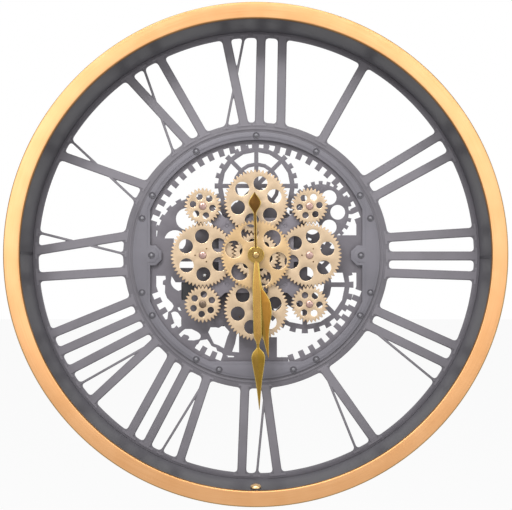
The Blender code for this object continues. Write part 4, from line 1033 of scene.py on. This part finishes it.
def rivets():
    """Rivets with a low rim and a domed head."""
    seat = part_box("centre_band")[0].y
    dome_seat = seat - 0.6 * MM
    for name in sorted(node for node in NODES if node.startswith("rivet_")):
        low, high, spot, radius = measures(name)
        profile = dome_profile(radius * 0.52, dome_seat - low.y, dome_seat, RIVET_DOME_STEPS)
        profile += [(radius * 0.60, seat - 0.45 * MM), (radius * 0.90, seat - 0.8 * MM)]
        profile += [(radius, seat - 0.5 * MM), (radius, seat), (RIVET_SHANK, seat), (RIVET_SHANK, high.y)]
        # The low rim takes the darker paint: painted shade.
        bm = turned(profile, 40, spot, indices=[0] * RIVET_DOME_STEPS + [1, 1, 1, 1])
        remade(name, bm, ("rivet_grey", "rivet_ring_shade"), spot)


# Gear work

GEAR_EDGE = 0.30 * MM
DOT_RADIUS = 1.0 * MM
DOT_HEIGHT = 0.45 * MM
DOT_CIRCLE = 9.2 * MM
DOT_ANGLES = (60, 180, 300)
PIN_SHANK = 2.5 * MM
PLATE_EDGE = 0.2 * MM
POST_STUB = 2 * MM
POST_EDGE = 0.4 * MM
PINNED = ("large_gear_right", "large_gear_top", "large_gear_left", "large_gear_bottom",
          "small_gear_upper_right", "small_gear_lower_right", "small_gear_upper_left")
PINS = {name: name.replace("gear", "gear_pin") for name in PINNED} | {"small_gear_lower_left": "drive_arbor"}
CUT_PLATES = (
    # name, face, angle in degrees from which a corner is sharp
    ("back_plate", "plate_grey", 50),
    # The gear plate's paint is lighter than the back plate's: painted light.
    ("gear_plate", "gear_plate_lit_grey", 30),
)
PLATE_HEADS = (
    # name, radius, spot, finish
    ("plate_screw", 2.6 * MM, (-64 * MM, -24.5 * MM), "chrome"),
    ("plate_stud", 1.3 * MM, (-21 * MM, -76 * MM), "dark_steel"),
)


def gear(name, spot):
    """A gear with its own outline, and its holes as circles."""
    loops = [round_loop(loop, 0.8 * MM) if is_small_hole(loop) else loop for loop in rear_loops(name)]
    face = "centre_gold" if name == "centre_gear" else "gear_gold"
    # Hole edges take a painted highlight, and sides and tooth edges a painted shade.
    remade_plate(name, loops, GEAR_EDGE, (face, "gear_hole_highlight", "gear_side_shade", "tooth_edge_shade"), spot)


def gear_dots(name, centre):
    """Three small rivets round a large gear's hub."""
    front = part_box(name)[0].y
    profile = dome_profile(DOT_RADIUS, DOT_HEIGHT, front, 4) + [(DOT_RADIUS, front + SEAT)]
    bm = bmesh.new()
    for angle in DOT_ANGLES:
        turned_into(bm, profile, 16, polar(DOT_CIRCLE, math.radians(angle), centre))
    add_piece(name + "_dots", bm, ("dot_brown",), "gear_gold", centre, body=NODES[name]["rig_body"])


def cross_cutters(spot, front, rear, reach, half_width):
    """Two boxes that cut a cross recess."""
    x, z = spot
    return [box_mesh((x - across, front, z - up), (x + across, rear, z + up))
            for across, up in ((reach, half_width), (half_width, reach))]


def gear_pin(name, spot):
    """A gear's pin: a low rounded head with a cross recess, a collar behind the gear, and a riveted tail."""
    low, high, _, head = measures(name)
    gear_low, gear_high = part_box("large_gear_right")
    head_seat, collar = gear_low.y - GAP, gear_high.y + GAP
    plate_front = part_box("gear_plate")[0].y - GAP
    profile = dome_profile(head, head_seat - low.y, head_seat, 8)
    profile += [(PIN_SHANK, head_seat), (PIN_SHANK, collar), (head, collar)]
    profile += [(head, plate_front), (PIN_SHANK, plate_front), (PIN_SHANK, high.y)]
    cutters = cross_cutters(spot, low.y - 1 * MM, low.y + 1.2 * MM, 3.2 * MM, 0.6 * MM)
    finish = "dark_steel" if name == "drive_arbor" else "pin_steel"
    remade(name, carved(turned(profile, 40, spot), *cutters), (finish,), spot)


def gear_plate_post(name):
    """A post with a stub at each end, which is riveted over."""
    low, high, spot, radius = measures(name)
    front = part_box("gear_plate")[1].y + GAP
    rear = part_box("back_plate")[0].y - GAP
    inner = radius - POST_EDGE
    profile = [(POST_STUB, low.y), (POST_STUB, front), (inner, front), (radius, front + POST_EDGE),
               (radius, rear - POST_EDGE), (inner, rear), (POST_STUB, rear), (POST_STUB, high.y)]
    remade(name, turned(profile, 32, spot), ("gear_plate_lit_grey",), spot)


def gear_work():
    gear("centre_gear", AXIS)
    gear("centre_pinion", AXIS)
    for name, pin in PINS.items():
        spot = spot_of(pin)
        gear(name, spot)
        gear_pin(pin, spot)
    for name in ("large_gear_left", "large_gear_right"):
        gear_dots(name, spot_of(PINS[name]))
    for name, face, sharp in CUT_PLATES:
        # Hole edges take a painted highlight, and sides a painted shade.
        remade_plate(name, fine_loops(name, sharp), PLATE_EDGE, (face, "plate_hole_highlight", "dark_edge_shade"))
    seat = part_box("back_plate")[0].y
    for name, radius, spot, finish in PLATE_HEADS:
        bm = turned(dome_profile(radius, radius * 0.4, seat, 6) + [(radius, seat + 0.1 * MM)], 28, spot)
        add_piece(name, bm, (finish,), "steel", spot)
    for number in range(1, 5):
        gear_plate_post(f"gear_plate_post_{number}")


# Hands

MINUTE_DEGREES = 178.7
HOUR_DEGREES = 173.1
HUB_RADIUS = 10 * MM
HUB_BEVEL = 0.2 * MM
NUT_SMOOTH = 30
HAND_SMOOTH = 14
HAND_THICK = 1 * MM
HAND_RIDGE = 1.2 * MM
HAND_EDGE = 0.15 * MM
HAND_STEPS = 90
LEAST_HALF_WIDTH = 0.2 * MM
MINUTE_SHAFT_END = 106 * MM
MINUTE_SHAFT_RADIUS = 1.52 * MM
HOUR_SHAFT_RADIUS = 2.62 * MM
FLUTE_COUNT = 36
FLUTE_DEPTH = 0.1 * MM
MINUTE_STATIONS = (
    # distance from the axis, half width
    (0.008, 0.0023), (0.044, 0.0050), (0.096, 0.0050), (0.108, 0.0017), (0.113, 0.0019), (0.117, 0.0058),
    (0.124, 0.0082), (0.134, 0.0070), (0.155, 0.0036), (0.187, 0.0003),
)
TAIL_STATIONS = ((0.008, 0.0016), (0.0495, 0.0016), (0.063, 0.0076), (0.076, 0.0003))
HOUR_STATIONS = (
    (0.008, 0.0024), (0.040, 0.0026), (0.048, 0.0065), (0.060, 0.0107), (0.072, 0.0105), (0.092, 0.0052),
    (0.126, 0.0003),
)
HAND_FINISHES = ("hand_gold", "hand_edge", "hand_side_shade", "hand_shade", "hand_hub", "hand_shaft_lit", "hand_tail_shade",
                 "hour_facet_lit")
GOLD, EDGE, SIDE_SHADE, SHADE, HUB, LIT_SHAFT, TAIL_SHADE, HOUR_LIT = range(8)


def half_width_at(stations, reach):
    """The half width of a hand at a distance from its axis, on a smooth curve through its stations."""
    for i, ((near, near_half), (far, far_half)) in enumerate(zip(stations, stations[1:])):
        if reach > far:
            continue
        span = far - near
        rise = far_half - near_half
        before = stations[max(i - 1, 0)]
        after = stations[min(i + 2, len(stations) - 1)]
        near_slope = (far_half - before[1]) / (far - before[0]) if i else rise / span
        far_slope = (after[1] - near_half) / (after[0] - near)
        if rise * near_slope <= 0:
            near_slope = 0.0
        if rise * far_slope <= 0:
            far_slope = 0.0
        t = (reach - near) / span
        levels = (2 * t**3 - 3 * t**2 + 1) * near_half + (3 * t**2 - 2 * t**3) * far_half
        slopes = (t**3 - 2 * t**2 + t) * near_slope + (t**3 - t**2) * far_slope
        return max(LEAST_HALF_WIDTH, levels + slopes * span)
    return stations[-1][1]


def blade_into(bm, stations, up, front, shaft_end, facets):
    """One arm of a hand: a ridge down the middle, a bevelled border, and a flat rear.

    The two facets take their own materials beyond the end of the shaft, and before it both take a paler copy,
    a painted highlight. The sides and rear take a darker copy: painted shade.
    """
    first, last = stations[0][0], stations[-1][0]
    tallest = max(half for _, half in stations)
    rear = front + HAND_THICK
    rows = []
    materials = []
    for i in range(HAND_STEPS + 1):
        reach = first + (last - first) * i / HAND_STEPS
        half = half_width_at(stations, reach)
        ridge = HAND_RIDGE * half / tallest
        inner = half - min(0.8 * MM, half * 0.35)
        shoulder = front - ridge * 0.12
        row = [(half, rear), (half, front + HAND_EDGE), (inner, shoulder), (0.0, front - ridge),
               (-inner, shoulder), (-half, front + HAND_EDGE), (-half, rear)]
        rows.append([bm.verts.new((x, depth, up * reach)) for x, depth in row])
        right, left = facets if reach >= shaft_end else (LIT_SHAFT, LIT_SHAFT)
        materials.append((SIDE_SHADE, EDGE, right, left, EDGE, SIDE_SHADE, SIDE_SHADE))
    walls(bm, rows, materials)


def hand(name, arms, shaft, degrees):
    """A hand about its fluted hub, pointing up, then turned to its time."""
    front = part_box(name)[1].y - HAND_THICK
    bm = bmesh.new()
    for stations, up, shaft_end, facets in arms:
        blade_into(bm, stations, up, front, shaft_end, facets)
    rear = front + HAND_THICK
    rim = HUB_RADIUS
    profile = [
        (shaft, rear), (rim - HUB_BEVEL, rear), (rim, rear - HUB_BEVEL), (rim, front + HUB_BEVEL),
        (rim * 0.92, front - 0.10 * MM), (rim * 0.88, front - 0.12 * MM), (rim - 0.4 * MM, front - 0.05 * MM),
        (rim * 0.55, front - 0.18 * MM), (shaft, front - HUB_BEVEL),
    ]
    # The hub's rear and bore take the darker copy: painted shade.
    indices = [SIDE_SHADE, EDGE, EDGE, EDGE, HUB, HUB, HUB, HUB, SIDE_SHADE]
    before = set(bm.verts)
    turned_into(bm, profile, 6 * FLUTE_COUNT, closed=True, indices=indices)
    for vert in set(bm.verts) - before:
        reach = math.hypot(vert.co.x, vert.co.z)
        if vert.co.y < front and 0.5 * rim < reach < 0.9 * rim:
            vert.co.y += FLUTE_DEPTH * math.cos(FLUTE_COUNT * math.atan2(vert.co.z, vert.co.x))
    made = remade(name, bm, HAND_FINISHES, smooth=HAND_SMOOTH)
    made.rotation_euler = (0, math.radians(degrees), 0)


def hands():
    # Painted highlight on the minute hand's shaft, painted shade on its tail, and painted light on one facet
    # of the hour hand.
    blade = (MINUTE_STATIONS, 1, MINUTE_SHAFT_END, (GOLD, SHADE))
    tail = (TAIL_STATIONS, -1, 0.0, (TAIL_SHADE, TAIL_SHADE))
    hand("hour_hand", ((HOUR_STATIONS, 1, 0.0, (GOLD, HOUR_LIT)),), HOUR_SHAFT_RADIUS, HOUR_DEGREES)
    hand("minute_hand", (blade, tail), MINUTE_SHAFT_RADIUS, MINUTE_DEGREES)
    low, high, _, radius = measures("hand_nut")
    seat = high.y - 0.5 * MM
    bm = turned(dome_profile(radius, seat - low.y, seat, 10) + [(radius, high.y)], 48)
    remade("hand_nut", bm, ("hand_nut_gold",), smooth=NUT_SMOOTH)


# Shafts

THREAD_PITCH = 0.75 * MM
THREAD_DEPTH = 0.25 * MM
BUSH_RADIUS = 4 * MM
BUSH_HEAD_THICK = 1.2 * MM
BUSH_PLAIN_END = 8 * MM
BUSH_THREAD_START = 8.5 * MM
BUSH_BORE = 2.7 * MM
TUBE_BORE = 1.56 * MM
CHAMFER = 0.25 * MM
GROOVE = 0.3 * MM


def chamfered(bore, radius, front, rear, *groove):
    """The profile of a rod or tube with chamfered ends, and a groove if given."""
    inner = radius - CHAMFER
    return [(bore, front), (inner, front), (radius, front + CHAMFER), *groove, (radius, rear - CHAMFER),
            (inner, rear), (bore, rear)]


def shafts():
    """The bush, the hour hand's tube in it, and the minute hand's shaft in that."""
    low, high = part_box("centre_bush")
    head, head_rear = high.x, low.y + BUSH_HEAD_THICK
    profile = [(BUSH_BORE, low.y), (head - 2 * CHAMFER, low.y), (head, low.y + 2 * CHAMFER)]
    profile += [(head, head_rear), (BUSH_RADIUS, head_rear), (BUSH_RADIUS, head_rear + BUSH_PLAIN_END)]
    start = head_rear + BUSH_THREAD_START
    for i in range(int((high.y - CHAMFER - start) / THREAD_PITCH)):
        root = start + i * THREAD_PITCH
        profile += [(BUSH_RADIUS - THREAD_DEPTH, root), (BUSH_RADIUS, root + THREAD_PITCH / 2)]
    profile.append((BUSH_BORE, high.y))
    remade("centre_bush", turned(profile, 48, closed=True), ("brass",))
    low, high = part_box("hour_tube")
    remade("hour_tube", turned(chamfered(TUBE_BORE, high.x, low.y, high.y), 48, closed=True), ("brass",))
    low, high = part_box("minute_shaft")
    neck, rear = high.x - GROOVE, high.y
    groove = ((high.x, rear - 2 * MM), (neck, rear - 1.8 * MM), (neck, rear - 1.2 * MM), (high.x, rear - MM))
    remade("minute_shaft", turned(chamfered(0.0, high.x, low.y, rear, *groove), 40), ("steel",))


# Cases, covers, cells and knob

CASE_WALL = 1.5 * MM
CELL_BAY = 15 * MM
CASE_CORNER = 2.5 * MM
FRONT_CORNER = 0.9 * MM
GROOVE_COUNT = 7
GROOVE_DEPTH = 0.4 * MM
GROOVE_SPACING = 2.4 * MM
GROOVE_HALF_WIDTH = 0.6 * MM
GROOVE_MARGIN = 3 * MM
COVER_CORNER = 1.2 * MM
PANEL_MARGIN = 3.5 * MM
PANEL_DEPTH = 0.4 * MM
PANEL_CORNER = 2 * MM
COVER_SCREW_RADIUS = 1.7 * MM
COVER_SCREW_INSET = 6.5 * MM
COVER_SCREW_SUNK = 0.9 * MM
CELL_RADIUS = 7 * MM
CELL_TIP = 1 * MM
CONTACT_SHEET = 0.3 * MM
KNOB_FLUTES = 24
KNOB_FLUTE_DEPTH = 0.35 * MM
KNOB_HEIGHT = 3.6 * MM
KNOB_STEM = 1.5 * MM


def round_bar(radius, front, rear, spot, sides=40):
    return turned([(radius, front), (radius, rear)], sides, spot)


def clock_case(prefix, bore):
    """A moulded case, open at the back, with gripping grooves down two of its sides."""
    name = prefix + "_case"
    low, high, spot, _ = measures(name)
    floor = low.y + CASE_WALL
    left, right, foot, top = low.x + CASE_WALL, high.x - CASE_WALL, low.z + CASE_WALL, high.z - CASE_WALL
    bay_top = foot + CELL_BAY
    cutters = [
        box_mesh((left, floor, foot), (right, CASE_WALL, bay_top)),
        box_mesh((left, floor, bay_top + CASE_WALL), (right, CASE_WALL, top)),
        round_bar(bore, low.y - CASE_WALL, floor + CASE_WALL, spot),
    ]
    for i in range(GROOVE_COUNT):
        z = spot[1] + (i - (GROOVE_COUNT - 1) / 2) * GROOVE_SPACING
        for edge in (low.x, high.x):
            cutters.append(box_mesh((edge - GROOVE_DEPTH, low.y + GROOVE_MARGIN, z - GROOVE_HALF_WIDTH),
                                    (edge + GROOVE_DEPTH, -GROOVE_MARGIN, z + GROOVE_HALF_WIDTH)))
    bm = carved(rounded_box(low, high, CASE_CORNER, FRONT_CORNER), *cutters)
    remade(name, bm, ("black_plastic",), spot)


def clock_cover(prefix, opening=None):
    """The cover over a case's works, with a sunk panel and two sunk screws."""
    name = prefix + "_cover"
    low, high, middle, _ = measures(name)
    reach_x, reach_z = high.x - middle[0] - COVER_SCREW_INSET, high.z - middle[1] - COVER_SCREW_INSET
    screws = [(middle[0] + side * reach_x, middle[1] - side * reach_z) for side in (-1, 1)]
    seat = high.y - COVER_SCREW_SUNK
    panel = rounded_box((low.x + PANEL_MARGIN, high.y - PANEL_DEPTH, low.z + PANEL_MARGIN),
                        (high.x - PANEL_MARGIN, high.y + MM, high.z - PANEL_MARGIN), PANEL_CORNER)
    cutters = [panel] + [round_bar(COVER_SCREW_RADIUS * 1.25, seat, high.y + MM, spot) for spot in screws]
    if opening:
        cutters.append(round_bar(opening[0], low.y - MM, high.y + MM, opening[1], 48))
    remade(name, carved(rounded_box(low, high, COVER_CORNER), *cutters), ("cover_plastic",), middle)
    profile = dome_profile(COVER_SCREW_RADIUS, -0.7 * MM, seat, 5) + [(COVER_SCREW_RADIUS, seat - 0.1 * MM)]
    for number, spot in enumerate(screws, start=1):
        cross = cross_cutters(spot, seat + 0.3 * MM, seat + MM, COVER_SCREW_RADIUS * 0.7, 0.2 * MM)
        bm = carved(turned(profile, 28, spot), *cross)
        add_piece(f"{name}_screw_{number}", bm, ("nickel",), "steel", spot)


def clock_cell(prefix):
    """A plain cell with its sleeve, a coloured band and its two metal ends, and the contacts that hold it."""
    name = prefix + "_cell"
    low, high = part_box(name)
    middle = (low + high) / 2
    half = (high.x - low.x - CELL_TIP) / 2
    front = low.x + high.x - 2 * middle.x - half
    body, shoulder = CELL_RADIUS, CELL_RADIUS - 0.25 * MM
    rear = half - 0.2 * MM
    profile = [(2.4 * MM, front - CELL_TIP), (2.7 * MM, front - 0.7 * MM), (2.7 * MM, front)]
    profile += [(6.2 * MM, front), (shoulder, front + 0.3 * MM), (shoulder, front + 1.2 * MM)]
    profile += [(body, front + 1.3 * MM), (body, front + 14 * MM), (body, half - 0.6 * MM)]
    profile += [(body - 0.3 * MM, rear), (5.4 * MM, rear), (5.2 * MM, half)]
    bm = turned(profile, 48, indices=[1, 1, 1, 1, 1, 1, 2, 0, 1, 1, 1])
    bmesh.ops.rotate(bm, verts=bm.verts, matrix=Matrix.Rotation(TURN / 4, 3, "Z"))
    bmesh.ops.translate(bm, verts=bm.verts, vec=middle + Vector((-CELL_TIP / 2, 0, 0)))
    spot = (middle.x, middle.z)
    remade(name, bm, ("cell_finish", "nickel", "cell_band"), spot, depth=middle.y)
    case_low, case_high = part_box(prefix + "_case")
    bm = bmesh.new()
    for edge in (case_low.x + CASE_WALL, case_high.x - CASE_WALL - CONTACT_SHEET):
        strip = rounded_box((edge, middle.y - 6 * MM, middle.z - 5 * MM),
                            (edge + CONTACT_SHEET, middle.y + 6 * MM, middle.z + 5 * MM), 0.1 * MM)
        mesh = bpy.data.meshes.new("strip")
        strip.to_mesh(mesh)
        strip.free()
        bm.from_mesh(mesh)
        bpy.data.meshes.remove(mesh)
    add_piece(prefix + "_contacts", bm, ("nickel",), "steel", spot, middle.y)


def setting_knob():
    """The fluted knob that sets the hands, on its stem."""
    low, high, spot, radius = measures("setting_knob")
    sides = 8 * KNOB_FLUTES
    outline = []
    for i in range(sides):
        angle = TURN * i / sides
        wave = 0.5 + 0.5 * math.cos(KNOB_FLUTES * angle)
        outline.append(polar(radius - KNOB_FLUTE_DEPTH * wave**3, angle, spot))
    front = high.y - KNOB_HEIGHT
    bm = plate_into(bmesh.new(), [outline], front, high.y, 0.35 * MM, steps=3)
    bm = carved(bm, round_bar(radius * 0.55, high.y - 0.5 * MM, high.y + MM, spot))
    turned_into(bm, [(KNOB_STEM, low.y), (KNOB_STEM, front)], 28, spot)
    remade("setting_knob", bm, ("knob_plastic",), spot)


HANGER_KEYHOLE_RISE = 7 * MM
HANGER_KEYHOLE_RADIUS = 4.5 * MM
HANGER_SLOT_HALF = 2.2 * MM
HANGER_SLOT_LENGTH = 6 * MM
HANGER_CORNER_REACH = 5 * MM


def wall_hanger():
    """The plate with a keyhole that takes the wall screw."""
    low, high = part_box("wall_hanger")
    corners = [(low.x, low.z), (high.x, low.z), (high.x, high.z), (low.x, high.z)]
    foot = low.z + HANGER_KEYHOLE_RISE
    top = foot + HANGER_SLOT_LENGTH - HANGER_SLOT_HALF
    half = HANGER_SLOT_HALF
    outlines = (circle(HANGER_KEYHOLE_RADIUS, 48, (0.0, foot)),
                [(-half, foot), (half, foot), (half, top), (-half, top)],
                circle(half, 32, (0.0, top)))
    keyhole = region_loops([(True, outline) for outline in outlines])
    loops = [eased(corners, HANGER_CORNER_REACH)] + [loop[::-1] for loop in keyhole]
    remade_plate("wall_hanger", loops, 0.25 * MM, ("steel",) * 3)


def movement():
    clock_case("movement", BUSH_RADIUS + 0.04 * MM)
    clock_case("drive", 2.6 * MM)
    clock_cover("movement", (6.3 * MM, spot_of("setting_knob")))
    clock_cover("drive")
    clock_cell("movement")
    clock_cell("drive")
    setting_knob()
    wall_hanger()


# The whole clock

def build():
    add_camera()
    add_studio()
    outer_hoop()
    inner_liner()
    liner_screw()
    dial()
    rivets()
    gear_work()
    hands()
    shafts()
    movement()


build()
